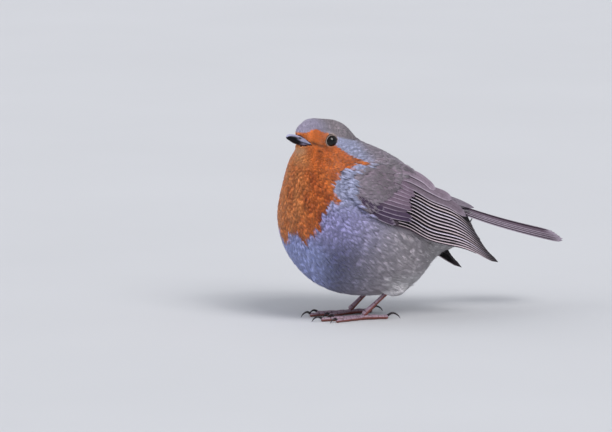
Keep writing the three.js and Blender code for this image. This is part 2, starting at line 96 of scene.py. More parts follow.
STANCE = 8.0
TARSUS = {"length": 20.0, "rise": math.radians(41), "splay": math.radians(4), "radius": 0.95}
TOES = [
    # turn is from straight ahead, positive away from the midline
    {"name": "inner", "turn": math.radians(-24), "length": 11.5, "radius": 0.95, "claw": 4.2, "joints": 2},
    {"name": "middle", "turn": math.radians(-4), "length": 17.4, "radius": 1.05, "claw": 5.2, "joints": 3},
    {"name": "outer", "turn": math.radians(17), "length": 13.2, "radius": 0.95, "claw": 4.2, "joints": 3},
    {"name": "hind", "turn": math.radians(172), "length": 10.2, "radius": 1.1, "claw": 6.4, "joints": 2},
]

WING_LOWER = [
    [23.5, -11.5, 56], [27, -5, 47.5], [29.5, 3.5, 42.8], [29.5, 13.2, 40.2],
    [28, 22.5, 36.1], [24.5, 32.5, 32.3], [20.8, 42.6, 28.8], [15.4, 57.1, 22],
]
WING_UPPER = [
    [20, -11, 63], [17.5, 0, 67.5], [13, 12, 66], [10.5, 22, 60.2],
    [11, 30, 54.6], [12.8, 38.5, 48], [14.6, 47.3, 36.8], [15.2, 57.3, 22.5],
]
SHOULDER = np.array([0.0, -10.0, 60.0])
WING_DROOP = {1: 0.0, -1: math.radians(5.6)}

TAIL_ROOT = np.array([0.0, 33.0, 49.4])
TAIL_TIP = np.array([0.0, 90.4, 30.6])
TAIL_SLOPE = (TAIL_TIP[2] - TAIL_ROOT[2]) / (TAIL_TIP[1] - TAIL_ROOT[1])
TAIL_SAG = 1.2

# The orange breast's outline on one side: degrees round the body from the line of the bill, and height.
BIB_OUTLINE = [
    (-30, 79.4), (8, 79.6), (20, 80.8), (32, 80.6), (42, 79.7), (56, 78.7), (71, 77.4), (69, 73.5),
    (80, 72.3), (96, 69.1), (103, 67.4), (92, 65.6), (78, 63.8), (70, 60.5), (71, 55.0), (82, 52.6),
    (71, 50.9), (66, 47.6), (61, 44.0), (58, 39.4), (53, 37.4), (46, 36.2), (41, 33.8), (31, 36.8),
    (19, 38.6), (8, 33.2), (-30, 34.0),
]
BIB_AXIS = (1.0, -12.0)
BIB_REACH = 17.0  # mm of outline to a radian of turn

ORANGE = srgb(228, 124, 54)
ORANGE_RIM_LIT = srgb(246, 178, 116)
ORANGE_DEEP = srgb(168, 74, 30)
CROWN = srgb(152, 140, 148)
MANTLE = srgb(158, 146, 160)
BLUE_GREY = srgb(180, 184, 216)
BREAST_SIDE = srgb(168, 164, 214)
BELLY = srgb(180, 190, 244)
BELLY_PAINTED_SHADE = srgb(54, 46, 88)
FLANK = srgb(204, 194, 202)
VENT = srgb(204, 198, 202)
FLUFF = srgb(232, 228, 232)
LORE = srgb(52, 28, 18)
CREAM = srgb(244, 214, 184)
CROWN_FRONT = srgb(166, 158, 182)
CAP_EDGE = srgb(74, 62, 72)
COVERT = srgb(142, 126, 140)
GREATER = srgb(134, 114, 132)
PRIMARY_COVERT = srgb(64, 50, 72)
VANE_DARK = srgb(13, 9, 13)
VANE_BROWN = srgb(92, 77, 90)
VANE_EDGE = srgb(238, 224, 242)
VANE_BUFF = srgb(196, 158, 128)
SHAFT = srgb(40, 32, 34)
BILL_DARK = srgb(13, 11, 17)
UPPER_HORN_AND_HIGHLIGHT = srgb(172, 172, 202)
LOWER_HORN = srgb(124, 116, 138)
LEG_TOP_LIT = srgb(158, 136, 152)
LEG_UNDER_SHADED = srgb(118, 62, 52)
LEG_SEAM = srgb(52, 26, 28)
NAIL = srgb(38, 30, 34)
LID = srgb(150, 134, 126)
PUPIL = srgb(3, 3, 4)
IRIS = srgb(26, 15, 10)


# ---------------------------------------------------------------- small tools


def ramp(value, low, high):
    """0 below low, 1 above high, and a smooth step between."""
    share = np.clip((value - low) / (high - low), 0, 1)
    return share * share * (3 - 2 * share)


def unit(vectors):
    return vectors / np.maximum(np.linalg.norm(vectors, axis=-1, keepdims=True), 1e-9)


def mix(first, second, share):
    return first + (second - first) * np.asarray(share)[..., None]


def dot(first, second):
    return (first * second).sum(-1, keepdims=True)


def flat_to(vectors, normals):
    """The unit vectors along the surface that has these normals."""
    return unit(vectors - dot(vectors, normals) * normals)


def ripple(points, size, seed):
    """A smooth random number from about -1 to 1 at each point, in patches of about the given size."""
    draw = np.random.default_rng(seed)
    waves = unit(draw.normal(size=(7, 3))) * (2 * math.pi / size) * draw.uniform(0.25, 0.75, (7, 1))
    return np.sin(points @ waves.T + draw.uniform(0, 2 * math.pi, 7)).sum(1) / 3.2


def turn_about(axis, angle):
    """The matrix that turns column vectors by the angle about X (0) or Z (2)."""
    cos, sin = math.cos(angle), math.sin(angle)
    if axis == 0:
        return np.array([[1, 0, 0], [0, cos, -sin], [0, sin, cos]])
    return np.array([[cos, -sin, 0], [sin, cos, 0], [0, 0, 1]])


HEAD_TURN = turn_about(2, HEAD_YAW) @ turn_about(0, HEAD_PITCH)


def from_head(points):
    return HEAD_AT + np.asarray(points, float) @ HEAD_TURN.T


def in_head(points):
    return (points - HEAD_AT) @ HEAD_TURN


def spline(points, at):
    """Points on the smooth curve through the given ones, where at runs from 0 to 1."""
    points = np.asarray(points, float)
    ends = np.vstack([2 * points[0] - points[1], points, 2 * points[-1] - points[-2]])
    place = np.clip(at, 0, 1) * (len(points) - 1)
    index = np.minimum(place.astype(int), len(points) - 2)
    share = (place - index)[:, None]
    before, here, after, beyond = (ends[index + step] for step in range(4))
    return 0.5 * (
        2 * here
        + (after - before) * share
        + (2 * before - 5 * here + 4 * after - beyond) * share**2
        + (3 * here - before - 3 * after + beyond) * share**3
    )


def values_along(values, at):
    return spline(np.array(values, float)[:, None], at)[:, 0]


def node_mesh(*names):
    """The named solids' corners, in stance millimetres, and their triangles."""
    corners, triangles, count = [], [], 0
    for name in names:
        mesh = frame["nodes"][name].data
        mesh.calc_loop_triangles()
        corners.append(np.array([v.co for v in mesh.vertices]))
        triangles.append(np.array([t.vertices[:] for t in mesh.loop_triangles]) + count)
        count += len(mesh.vertices)
    return (np.concatenate(corners) - ORIGIN) / MM, np.concatenate(triangles)


class Surface:
    """A mesh that says where its nearest point is, and how it faces there."""

    def __init__(self, points, triangles, normals=None):
        self.points, self.triangles, self.normals = points, triangles, normals
        self.tree = BVHTree.FromPolygons(points.tolist(), triangles.tolist())

    def facing(self, at, faces):
        """The normals at these points, blended from the corners of their triangles."""
        a, b, c = (self.points[self.triangles[faces, k]] for k in range(3))
        whole = np.cross(b - a, c - a)
        size = np.maximum((whole**2).sum(1), 1e-12)
        second = (np.cross(at - a, c - a) * whole).sum(1) / size
        third = (np.cross(b - a, at - a) * whole).sum(1) / size
        share = np.stack([1 - second - third, second, third], 1).clip(0, 1)
        return unit((self.normals[self.triangles[faces]] * share[:, :, None]).sum(1))

    def nearest(self, points):
        found = [self.tree.find_nearest(p) for p in points.tolist()]
        at = np.array([hit[0] for hit in found])
        return at, self.facing(at, np.array([hit[2] for hit in found]))

    def distance(self, points):
        return np.array([self.tree.find_nearest(p)[3] for p in points.tolist()])

    def holds(self, points, towards):
        """Whether each point is inside the closed mesh, where towards is any direction to look along."""
        found = [self.tree.ray_cast(p, towards)[1] for p in points.tolist()]
        return np.array([facing is not None and facing.dot(towards) > 0 for facing in found])

    def struck(self, points, directions, reach):
        """Where rays first meet the mesh, with NaN for those that don't."""
        pairs = zip(points.tolist(), directions.tolist())
        found = [self.tree.ray_cast(p, d, reach)[0] for p, d in pairs]
        return np.array([[math.nan] * 3 if hit is None else hit[:] for hit in found])


# ---------------------------------------------------------------- meshes


def loft(rings):
    """Closed rings of points joined in order, with both ends closed: corners and triangles, facing out."""
    count, around = rings.shape[:2]
    ring, place = np.meshgrid(np.arange(count - 1), np.arange(around), indexing="ij")
    a = (ring * around + place).ravel()
    b = (ring * around + (place + 1) % around).ravel()
    walls = np.concatenate([np.stack([a, b, b + around], 1), np.stack([a, b + around, a + around], 1)])
    spin = np.arange(around)
    first, last = count * around, count * around + 1
    start = np.stack([np.full(around, first), (spin + 1) % around, spin], 1)
    final = (count - 1) * around
    end = np.stack([np.full(around, last), final + spin, final + (spin + 1) % around], 1)
    corners = np.concatenate([rings.reshape(-1, 3), rings[0].mean(0)[None], rings[-1].mean(0)[None]])
    triangles = np.concatenate([walls, start, end])
    p, q, r = (corners[triangles[:, k]] for k in range(3))
    if (p * np.cross(q, r)).sum() < 0:
        triangles = triangles[:, ::-1]
    return corners, triangles


def gathered(shapes):
    """The corners and triangles of several shapes together."""
    starts = np.cumsum([0] + [len(shape[0]) for shape in shapes])
    triangles = [shape[1] + start for shape, start in zip(shapes, starts)]
    return np.concatenate([shape[0] for shape in shapes]), np.concatenate(triangles)


def add_piece(name, points, triangles, material, colours=None, maps=None):
    """Makes one smooth piece from stance millimetres. maps are UV maps by corner."""
    mesh = bpy.data.meshes.new(name)
    mesh.vertices.add(len(points))
    mesh.vertices.foreach_set("co", (points * MM + ORIGIN).astype(np.float32).ravel())
    mesh.loops.add(triangles.size)
    mesh.loops.foreach_set("vertex_index", triangles.astype(np.int32).ravel())
    mesh.polygons.add(len(triangles))
    mesh.polygons.foreach_set("loop_start", np.arange(0, triangles.size, 3, dtype=np.int32))
    mesh.polygons.foreach_set("use_smooth", np.ones(len(triangles), bool))
    if colours is not None:
        layer = mesh.color_attributes.new("plumage", "FLOAT_COLOR", "POINT")
        tinted = np.concatenate([colours, np.ones((len(points), 1))], 1)
        layer.data.foreach_set("color", tinted.astype(np.float32).ravel())
    for title, corners in (maps or {}).items():
        layer = mesh.uv_layers.new(name=title, do_init=False)
        layer.uv.foreach_set("vector", corners.astype(np.float32).ravel())
    mesh.update(calc_edges=True)
    mesh.materials.append(material)
    piece = bpy.data.objects.new(name, mesh)
    bpy.context.scene.collection.objects.link(piece)
    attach(piece, "root")
    return piece


class Heap:
    """Gathers closed shapes into one piece."""

    def __init__(self):
        self.points, self.triangles, self.colours, self.maps, self.count = [], [], [], {}, 0

    def add(self, points, triangles, colours=None, **maps):
        self.points.append(points)
        self.triangles.append(triangles + self.count)
        self.count += len(points)
        if colours is not None:
            self.colours.append(np.broadcast_to(colours, points.shape))
        for title, by_point in maps.items():
            self.maps.setdefault(title, []).append(by_point[triangles])

    def piece(self, name, material, slot):
        colours = np.concatenate(self.colours) if self.colours else None
        maps = {title: np.concatenate(parts) for title, parts in self.maps.items()}
        points, triangles = np.concatenate(self.points), np.concatenate(self.triangles)
        return add_piece(name, points, triangles, material, colours, maps)


# ---------------------------------------------------------------- materials


def new_material(name, **values):
    """A material with its node tree and shader, whose sockets are set from values."""
    material = bpy.data.materials.new(name)
    material.use_nodes = True
    tree = material.node_tree
    shader = tree.nodes["Principled BSDF"]
    for socket, value in values.items():
        shader.inputs[socket.replace("_", " ")].default_value = value
    return material, tree, shader


def node(tree, kind, links=None, **settings):
    """A node with its settings, and its inputs fed by links or numbers."""
    made = tree.nodes.new(kind)
    for key, value in settings.items():
        setattr(made, key, value)
    for key, value in (links or {}).items():
        if isinstance(value, bpy.types.NodeSocket):
            tree.links.new(value, made.inputs[key])
        else:
            made.inputs[key].default_value = value
    return made


def noise_share(tree, scale, low, high, detail=3.0):
    """Noise over the piece as a number from low to high."""
    place = node(tree, "ShaderNodeTexCoord").outputs["Object"]
    noise = node(tree, "ShaderNodeTexNoise", {"Vector": place, "Scale": scale, "Detail": detail})
    spread = node(
        tree,
        "ShaderNodeMapRange",
        {"Value": noise.outputs["Fac"], "From Min": 0.3, "From Max": 0.7, "To Min": low, "To Max": high},
    )
    return spread.outputs["Result"]


def tinted(tree, colour, share):
    """The colour times a number."""
    return node(tree, "ShaderNodeVectorMath", {0: colour, "Scale": share}, operation="SCALE").outputs[0]


def bump(tree, shader, height, strength, distance):
    links = {"Height": height, "Strength": strength, "Distance": distance}
    made = node(tree, "ShaderNodeBump", links)
    tree.links.new(made.outputs["Normal"], shader.inputs["Normal"])


def plumage(tree):
    return node(tree, "ShaderNodeAttribute", attribute_name="plumage").outputs["Color"]


def soft_material(name, grain, sheen):
    """Loose feathering: the markings, mottled a little, with a soft sheen."""
    material, tree, shader = new_material(
        name, Sheen_Weight=sheen, Sheen_Roughness=0.45, Specular_IOR_Level=0.25
    )
    mottled = tinted(tree, plumage(tree), noise_share(tree, grain, 0.93, 1.07))
    tree.links.new(mottled, shader.inputs["Base Color"])
    tree.links.new(noise_share(tree, grain / 2, 0.62, 0.86), shader.inputs["Roughness"])
    bump(tree, shader, noise_share(tree, grain * 3, 0.0, 1.0), 0.25, 0.0001)
    return material


def vane_material(name):
    """Firm vanes, ribbed by their barbs. The map named Vane holds millimetres along and across a feather."""
    material, tree, shader = new_material(name, Specular_IOR_Level=0.16)
    place = node(tree, "ShaderNodeUVMap", uv_map="Vane").outputs["UV"]
    parts = node(tree, "ShaderNodeSeparateXYZ", {"Vector": place})
    out = node(tree, "ShaderNodeMath", {0: parts.outputs["Y"]}, operation="ABSOLUTE").outputs[0]
    slant = node(tree, "ShaderNodeMath", {0: out, 1: -1.3, 2: parts.outputs["X"]}, operation="MULTIPLY_ADD")
    barbs = node(tree, "ShaderNodeMath", {0: slant.outputs[0], 1: 2 * math.pi / 0.5}, operation="MULTIPLY")
    ribs = node(tree, "ShaderNodeMath", {0: barbs.outputs[0]}, operation="SINE").outputs[0]
    shade = node(
        tree,
        "ShaderNodeMapRange",
        {"Value": ribs, "From Min": -1.0, "From Max": 1.0, "To Min": 0.88, "To Max": 1.08},
    ).outputs["Result"]
    streaked = tinted(tree, tinted(tree, plumage(tree), shade), noise_share(tree, 700.0, 0.85, 1.15))
    tree.links.new(streaked, shader.inputs["Base Color"])
    tree.links.new(noise_share(tree, 500.0, 0.45, 0.68), shader.inputs["Roughness"])
    bump(tree, shader, ribs, 0.35, 0.00006)
    return material


# ---------------------------------------------------------------- plumage colours, with painted light and shade

EYES = {side: (np.add(*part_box(f"eye_{word}")) / 2 - ORIGIN) / MM for side, word in SIDES}
BIB_POINTS = np.array([(math.radians(turn) * BIB_REACH, height) for turn, height in BIB_OUTLINE])


def outside_bib(points):
    """Millimetres outside the orange breast's outline, and less than 0 inside."""
    height = points[:, 2]
    ahead = HEAD_YAW * np.clip((height - 52) / 18, 0, 1)
    turn = np.arctan2(points[:, 0] - BIB_AXIS[0], BIB_AXIS[1] - points[:, 1]) - ahead
    spot = np.stack([np.abs(turn) * BIB_REACH, height], 1)
    starts, ends = BIB_POINTS, np.roll(BIB_POINTS, -1, axis=0)
    edges = ends - starts
    gap = spot[:, None] - starts
    share = ((gap * edges).sum(2) / (edges**2).sum(1)).clip(0, 1)
    far = np.linalg.norm(gap - share[..., None] * edges, axis=2).min(1)
    rises = (starts[:, 1] > spot[:, None, 1]) != (ends[:, 1] > spot[:, None, 1])
    slope = edges[:, 0] / np.where(edges[:, 1] == 0, 1e-9, edges[:, 1])
    crossing = starts[:, 0] + (spot[:, None, 1] - starts[:, 1]) * slope
    inside = (rises & (spot[:, None, 0] < crossing)).sum(1) % 2 == 1
    return np.where(inside, -far, far)


def stroke(local, start, end, radius):
    """1 on a line of the head's left side, and of its right one, fading out over the radius."""
    spot = np.abs(local) * [1, 0, 0] + local * [0, 1, 1]
    start, along = np.array(start), np.subtract(end, start)
    share = ((spot - start) @ along / (along @ along)).clip(0, 1)
    gap = np.linalg.norm(spot - start - share[:, None] * along, axis=1)
    return np.exp(-((gap / radius) ** 2))


def markings_and_painted_light(points):
    """The plumage's colour at points on the body, with painted shade on the lower belly and painted rim light
    at the front.
    """
    side, back, height = points.T
    local = in_head(points)
    ragged = 0.7 * ripple(points, 2.2, 11) + 0.4 * ripple(points, 1.1, 12)
    ragged = ragged * (1 - 0.5 * ramp(height, 66, 72))
    bib = 1 - ramp(outside_bib(points) + ragged, -0.35, 0.35)
    streak = ripple(points * [1.2, 0.35, 0.8], 1.7, 14)

    grey = mix(BREAST_SIDE, BLUE_GREY, ramp(height, 44, 56))
    low = ramp(-height - 0.25 * np.abs(side), -46, -32)
    under = mix(grey, BELLY, low * (1 - ramp(np.abs(side), 16, 25) * 0.6))
    # Painted shade: the middle of the lower belly is darkened towards deep violet, for the shade that falls
    # under the body.
    shade = ramp(-height, -42, -26) * ramp(back + 0.4 * np.abs(side), -20, -6) * (1 - ramp(back, 2, 18))
    under = mix(under, BELLY_PAINTED_SHADE, 0.75 * shade)
    rear = ramp(back + 0.1 * (40 - height), -16, 16) * ramp(-height, -52, -42)
    under = mix(under, FLANK, rear)
    under = mix(under, VENT, ramp(back, 18, 32) * ramp(-height, -46, -36))
    under = mix(under, FLUFF, ramp(-height, -23, -15) * ramp(back, 5, 11))
    under = under * (1 + 0.07 * streak * ramp(back, -20, 0))[:, None]

    upper = ramp(height - (52 - 0.35 * back), -4, 4) * ramp(back + 0.35 * (height - 66), -3, 6)
    colour = mix(under, MANTLE * (1 + 0.08 * streak[:, None]), upper)
    cap = ramp(local[:, 2] - 2.0 + 0.3 * ragged, -0.3, 0.5) * ramp(15.5 - local[:, 1], 0, 2)
    cap = cap * ramp(height, 70, 73)
    crown = mix(CROWN, CROWN_FRONT, ramp(-local[:, 1], -2, 7)) * (1 + 0.14 * streak[:, None])
    colour = mix(colour, crown, cap)
    colour = mix(colour, CAP_EDGE, 0.6 * stroke(local, (9.4, 4.4, 2.4), (8.4, 14.4, 1.9), 0.45))

    warm = 0.5 + 0.5 * ripple(points * [1.0, 1.0, 0.35], 2.4, 13)
    fine = ripple(points * [1.6, 1.6, 0.35], 2.6, 15)
    low_breast = 0.6 + 0.4 * ramp(-height, -66, -50)
    orange = mix(ORANGE, ORANGE_DEEP, 0.75 * low_breast * warm * ramp(side, -4, 13))
    orange = orange * (1 + 0.2 * fine[:, None])
    # Painted rim light: the front of the breast and face, and most of all the chin, are lightened towards pale
    # orange as if lit from ahead.
    pale = 0.45 * (1 - 0.6 * warm) * ramp(-back - 0.6 * side, 14, 27)
    chin = ramp(-local[:, 1], 7, 11) * ramp(-local[:, 2], 3, 6) * ramp(height, 62, 68)
    pale = np.maximum(pale, 0.85 * chin)
    orange = mix(orange, ORANGE_RIM_LIT, pale)
    colour = mix(colour, orange, bib)
    colour = mix(colour, CREAM, 0.4 * stroke(local, (0.0, -9.3, -6.6), (2.0, -9.0, -6.2), 1.4))
    for centre in EYES.values():
        rim = np.linalg.norm(points - centre, axis=1) - EYE_RADIUS
        ring = np.exp(-(((rim - 0.25) / 0.35) ** 2)) * (0.6 + 0.4 * ragged).clip(0, 1)
        colour = mix(colour, CREAM, 0.55 * ring)
    colour = mix(colour, LORE, 0.8 * stroke(local, (5.2, -8.4, -1.9), (8.2, -4.3, -2.7), 0.6))
    return mix(colour, LORE, 0.75 * stroke(local, (8.2, -5.4, -4.8), (8.9, -4.2, -5.3), 0.6))


# ---------------------------------------------------------------- the skin and its fields

SWELL = 0.4  # the solids grow by this before they are joined, to close the cuts between them
VOXEL = 0.8
FLESH_NODES = ("trunk", "neck", "head", "thigh_left", "thigh_right")


def corner_normals(points, triangles):
    a, b, c = (points[triangles[:, k]] for k in range(3))
    whole = np.cross(b - a, c - a)
    normals = np.zeros_like(points)
    for k in range(3):
        np.add.at(normals, triangles[:, k], whole)
    return unit(normals)


def sharpened(points):
    """The points with the sides of the face drawn in, and its brow and chin drawn forward."""
    local = in_head(points)
    near = 1 - ramp(np.linalg.norm(local, axis=1), 12, 16)
    side, front, height = local[:, 0], -local[:, 1], local[:, 2]
    brow = ramp(front, 8.5, 11) * ramp(height, -0.4, 0.6)
    chin = ramp(front, 7.0, 9.5) * ramp(-height, 3.4, 4.6)
    side = side * (1 - 0.2 * near * ramp(front, 5, 9))
    front = front + near * (1.1 * brow + 0.8 * chin)
    return from_head(np.stack([side, -front, height], 1))


def joined_flesh():
    """The flesh solids, eyes and bill as one smooth closed surface at the coat's outside."""
    shell = bmesh.new()
    for name in (*FLESH_NODES, "eye_left", "eye_right", "bill_upper", "bill_lower"):
        shell.from_mesh(frame["nodes"][name].data)
    bmesh.ops.remove_doubles(shell, verts=shell.verts, dist=1e-6)
    shell.normal_update()
    for vert in shell.verts:
        vert.co += vert.normal * SWELL * MM
    mesh = bpy.data.meshes.new("flesh")
    shell.to_mesh(mesh)
    shell.free()
    flesh = bpy.data.objects.new("flesh", mesh)
    bpy.context.scene.collection.objects.link(flesh)
    remesh = flesh.modifiers.new("join", "REMESH")
    remesh.mode, remesh.voxel_size = "VOXEL", VOXEL * MM
    smooth = flesh.modifiers.new("even", "SMOOTH")
    smooth.factor, smooth.iterations = 0.5, 10
    made = flesh.evaluated_get(bpy.context.evaluated_depsgraph_get()).to_mesh()
    made.calc_loop_triangles()
    points = (np.array([v.co for v in made.vertices]) - ORIGIN) / MM
    normals = np.array([v.normal for v in made.vertices])
    triangles = np.array([t.vertices[:] for t in made.loop_triangles])
    bpy.data.objects.remove(flesh)
    points = sharpened(points - normals * SWELL)
    return points, triangles, corner_normals(points, triangles)


BILL_ROOT = from_head([0.0, -7.5, -0.8])
FACE_FRONT = -13.4  # what lies ahead of this in the head's frame is bill
FLESH = Surface(*joined_flesh())
WING_PLATES = Surface(*node_mesh("wing_left", "wing_right"))
TAIL_PLATE = Surface(*node_mesh("tail"))
LEG_SOLIDS = Surface(*node_mesh("tarsus_left", "tarsus_right"))


def feather_length(points):
    """How long the feathers are that grow at these points."""
    side, back, height = points.T
    from_bill = np.linalg.norm(points - BILL_ROOT, axis=1)
    on_head = 1.0 + 2.2 * ramp(from_bill, 2, 17)
    eye = np.minimum(*(np.linalg.norm(points - centre, axis=1) for centre in EYES.values()))
    on_head *= 0.45 + 0.55 * ramp(eye, 3, 7)
    on_body = 5.0 + 2.4 * ramp(-height, -52, -24) + 1.4 * ramp(back, 8, 30)
    whole = on_head + (on_body - on_head) * ramp(np.linalg.norm(points - HEAD_AT, axis=1), 11, 21)
    leg = ramp(-height, -14.5, -10.5) * ramp(back, 2, 6) * ramp(np.abs(side), 3, 6)
    return whole + (3.0 - whole) * leg


def coat_depth(length):
    return 0.2 + 0.14 * length


def lie_of(points, normals):
    """Which way the feathers lie: away from the bill and towards the tail."""
    away = unit(points - BILL_ROOT)
    tailwards = unit(np.array([0.0, 80.0, 40.0]) - points)
    pull = away * 1.2 + tailwards * 0.9
    pull[:, 2] -= 0.15 * ramp(-points[:, 2], -50, -30)
    lie = flat_to(pull, normals)
    sway = 0.1 * ripple(points, 7.0, 21) + 0.05 * ripple(points, 2.5, 22)
    lie = unit(lie + np.cross(normals, lie) * sway[:, None])
    for centre in EYES.values():
        gap = np.linalg.norm(centre - points, axis=1)
        inward = flat_to(centre - points, normals)
        turned = np.maximum(dot(lie, inward), 0) + 0.35
        lie = unit(lie - inward * turned * (1 - ramp(gap, 3.2, 6.0))[:, None])
    return lie


# ---------------------------------------------------------------- the bill


def mandible(ridge, width_inset, floor_drop, hollow, count=64, around=28):
    """One half of the bill in the head's frame: rings from tip to gape, a dome on a nearly flat floor."""
    share = np.linspace(0, 1, count)
    y, top, half = (values_along(BILL[key], share) for key in ("y", ridge, "half_width"))
    floor = values_along(BILL["gape"], share) - floor_drop
    half = half - width_inset * np.minimum(half, 1)
    angle = np.linspace(0, math.pi, around)
    rings = []
    for place in range(count):
        rise = top[place] - floor[place]
        dome_x = half[place] * np.cos(angle)
        dome_z = floor[place] + rise * np.sin(angle) ** 0.85
        sunk_z = floor[place] + hollow * rise * np.sin(angle)[1:-1]
        x = np.concatenate([dome_x, dome_x[::-1][1:-1] * 0.96])
        z = np.concatenate([dome_z, sunk_z])
        rings.append(np.stack([x, np.full(len(x), y[place]), z], 1))
    return np.array(rings), angle


def dented(rings, angle):
    """The upper bill with its two nostrils pressed in."""
    dome = slice(0, len(angle))
    for side in (1, -1):
        turn = angle if side > 0 else math.pi - angle
        along = (rings[:, dome, 1] - NOSTRIL["y"]) / NOSTRIL["half_length"]
        across = (turn[None] - NOSTRIL["turn"]) / NOSTRIL["half_turn"]
        pit = np.exp(-((along**2 + across**2) ** 1.5)) * NOSTRIL["depth"]
        rings[:, dome, 0] -= side * pit * 0.75
        rings[:, dome, 2] -= pit * 0.5
    return rings


def bill_shapes():
    """The bill's closed halves in the stance frame, each with its colours."""
    for ridge, inset, drop, hollow, horn in (
        ("culmen", 0.0, -0.01, 0.12, UPPER_HORN_AND_HIGHLIGHT),
        ("gonys", 0.1, 0.03, -0.08, LOWER_HORN),
    ):
        rings, angle = mandible(ridge, inset, drop, hollow)
        upper = ridge == "culmen"
        points, triangles = loft(dented(rings, angle) if upper else rings)
        y, z = points[:, 1], points[:, 2]
        # Painted highlight: the bill's top along the culmen is lightened towards pale horn, for the sky's
        # reflection on the ridge; the lighter horn towards the base (rear) is the bill's own colour.
        crest = ramp(z - np.interp(y, BILL["y"], BILL["culmen"]), -0.8 - 0.12 * (y + 17), -0.25)
        rear = ramp(y, -13.6, -10.8) * 0.6 if upper else ramp(y, -11.8, -9.8) * 0.8
        colours = mix(BILL_DARK, horn, np.maximum(0.95 * crest, rear))
        # Painted shade: a dark line along the gape, where the two halves of the bill meet.
        seam = np.exp(-(((z - np.interp(y, BILL["y"], BILL["gape"])) / 0.13) ** 2))
        colours = mix(colours, BILL_DARK * 0.5, 0.85 * seam)
        # Painted shade: the nostrils' pits are darkened almost to black, for the shade inside the openings.
        for side in (1, -1):
            spot = np.array([side * NOSTRIL["side"], NOSTRIL["y"], NOSTRIL["height"]])
            near = np.exp(-((((points - spot) / [0.6, 0.75, 0.4]) ** 2).sum(1) ** 2))
            colours = mix(colours, BILL_DARK * 0.2, near)
        yield from_head(points), triangles, colours


BILL_SHAPES = list(bill_shapes())
BILL_FORM = Surface(*gathered(BILL_SHAPES))


def over_bill(points):
    """How far outside the bill the points are, and less than 0 inside it."""
    inside = BILL_FORM.holds(points, Vector(HEAD_TURN @ [0.0, -1.0, 0.0]))
    return BILL_FORM.distance(points) * np.where(inside, -1, 1)


def make_bill(material):
    heap = Heap()
    for points, triangles, colours in BILL_SHAPES:
        heap.add(points, triangles, colours)
    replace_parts(heap.piece("bill", material, "horn"), "bill_upper", "bill_lower")


# ---------------------------------------------------------------- the coat

BODY_AXIS = (0.0, 38.0)  # side and height of the line along the middle of the body


def unwrapped(points, way):
    """A place from 0 to 1 on the unwrap of the skin round an upright line, or round the body's long one."""
    side, back, height = points.T
    if way == "upright":
        around = np.arctan2(side - 1, -(back + 4))
        along = height
    else:
        around = np.arctan2(side - BODY_AXIS[0], height - BODY_AXIS[1])
        along = back
    place = np.stack([around, along], 1)
    low, high = place.min(0), place.max(0)
    return 0.01 + 0.98 * (place - low) / np.maximum(high - low, 1e-9)


THICK_FLESH = 6.0  # where the flesh is thinner than this, the skin sinks less, so that its sides don't cross


def make_skin(material):
    points, normals = FLESH.points, FLESH.normals
    across = FLESH.struck(points - normals * 0.05, -normals, THICK_FLESH) - points
    thickness = np.nan_to_num(np.linalg.norm(across, axis=1), nan=THICK_FLESH)
    depth = np.minimum(coat_depth(feather_length(points)), 0.3 * thickness)[:, None]
    from_bill = over_bill(points)
    share = 1 - 0.6 * ramp(-from_bill, 0.1, 0.6)
    share[in_head(points)[:, 1] < FACE_FRONT] = 0.4
    tucked = BILL_ROOT + (points - BILL_ROOT) * share[:, None]
    # The skin takes the plumage's colours at 0.8, darkening to 0.1 near the bill: painted shadow in the bare
    # strip between the horn and the first feathers.
    colours = markings_and_painted_light(points) * (0.1 + 0.7 * ramp(from_bill, 0.5, 2.2))[:, None]
    spots = unwrapped(points, "upright")[FLESH.triangles]
    over_seam = np.ptp(spots[..., 0], axis=1) > 0.5
    spots[..., 0] += (over_seam[:, None] & (spots[..., 0] < 0.5)) * 0.98
    spots[..., 0] *= 0.95
    maps = {"OFBake": spots}
    skin = add_piece("skin", tucked - normals * depth, FLESH.triangles, material, colours, maps)
    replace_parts(skin, *FLESH_NODES)


def settle_on_body(points):
    """Where feathers over these points lie: on the flesh, or on a wing or the tail that stands over it."""
    at, facing = FLESH.nearest(points)
    top = WING_PLATES.struck(at + facing * 7, -facing, 7.2)
    on_wing = ~np.isnan(top[:, 0])
    at[on_wing] = top[on_wing] + facing[on_wing] * 0.4
    middle_height = TAIL_ROOT[2] + (points[:, 1] - TAIL_ROOT[1]) * TAIL_SLOPE
    start = np.stack([points[:, 0], points[:, 1], middle_height + 4], 1)
    top = TAIL_PLATE.struck(start, np.broadcast_to([0.0, 0.0, -1.0], points.shape), 8)
    on_tail = (points[:, 2] > middle_height - 0.5) & (top[:, 2] + 0.4 > at[:, 2])
    at[on_tail] = top[on_tail] + [0.0, 0.0, 0.5]
    facing[on_tail] = unit(np.array([0.0, -TAIL_SLOPE, 1.0]))
    return at, facing, on_wing | on_tail


def thinned(points, spacing, draw):
    """Indexes of points that keep their spacing from each other, in a random order."""
    tree = KDTree(len(points))
    for index, point in enumerate(points.tolist()):
        tree.insert(point, index)
    tree.balance()
    free = np.ones(len(points), bool)
    kept = []
    for index in draw.permutation(len(points)).tolist():
        if free[index]:
            kept.append(index)
            for _, other, _ in tree.find_range(points[index], spacing[index]):
                free[other] = False
    return np.array(kept)


def feather_spacing(length):
    return 0.1 + 0.14 * length


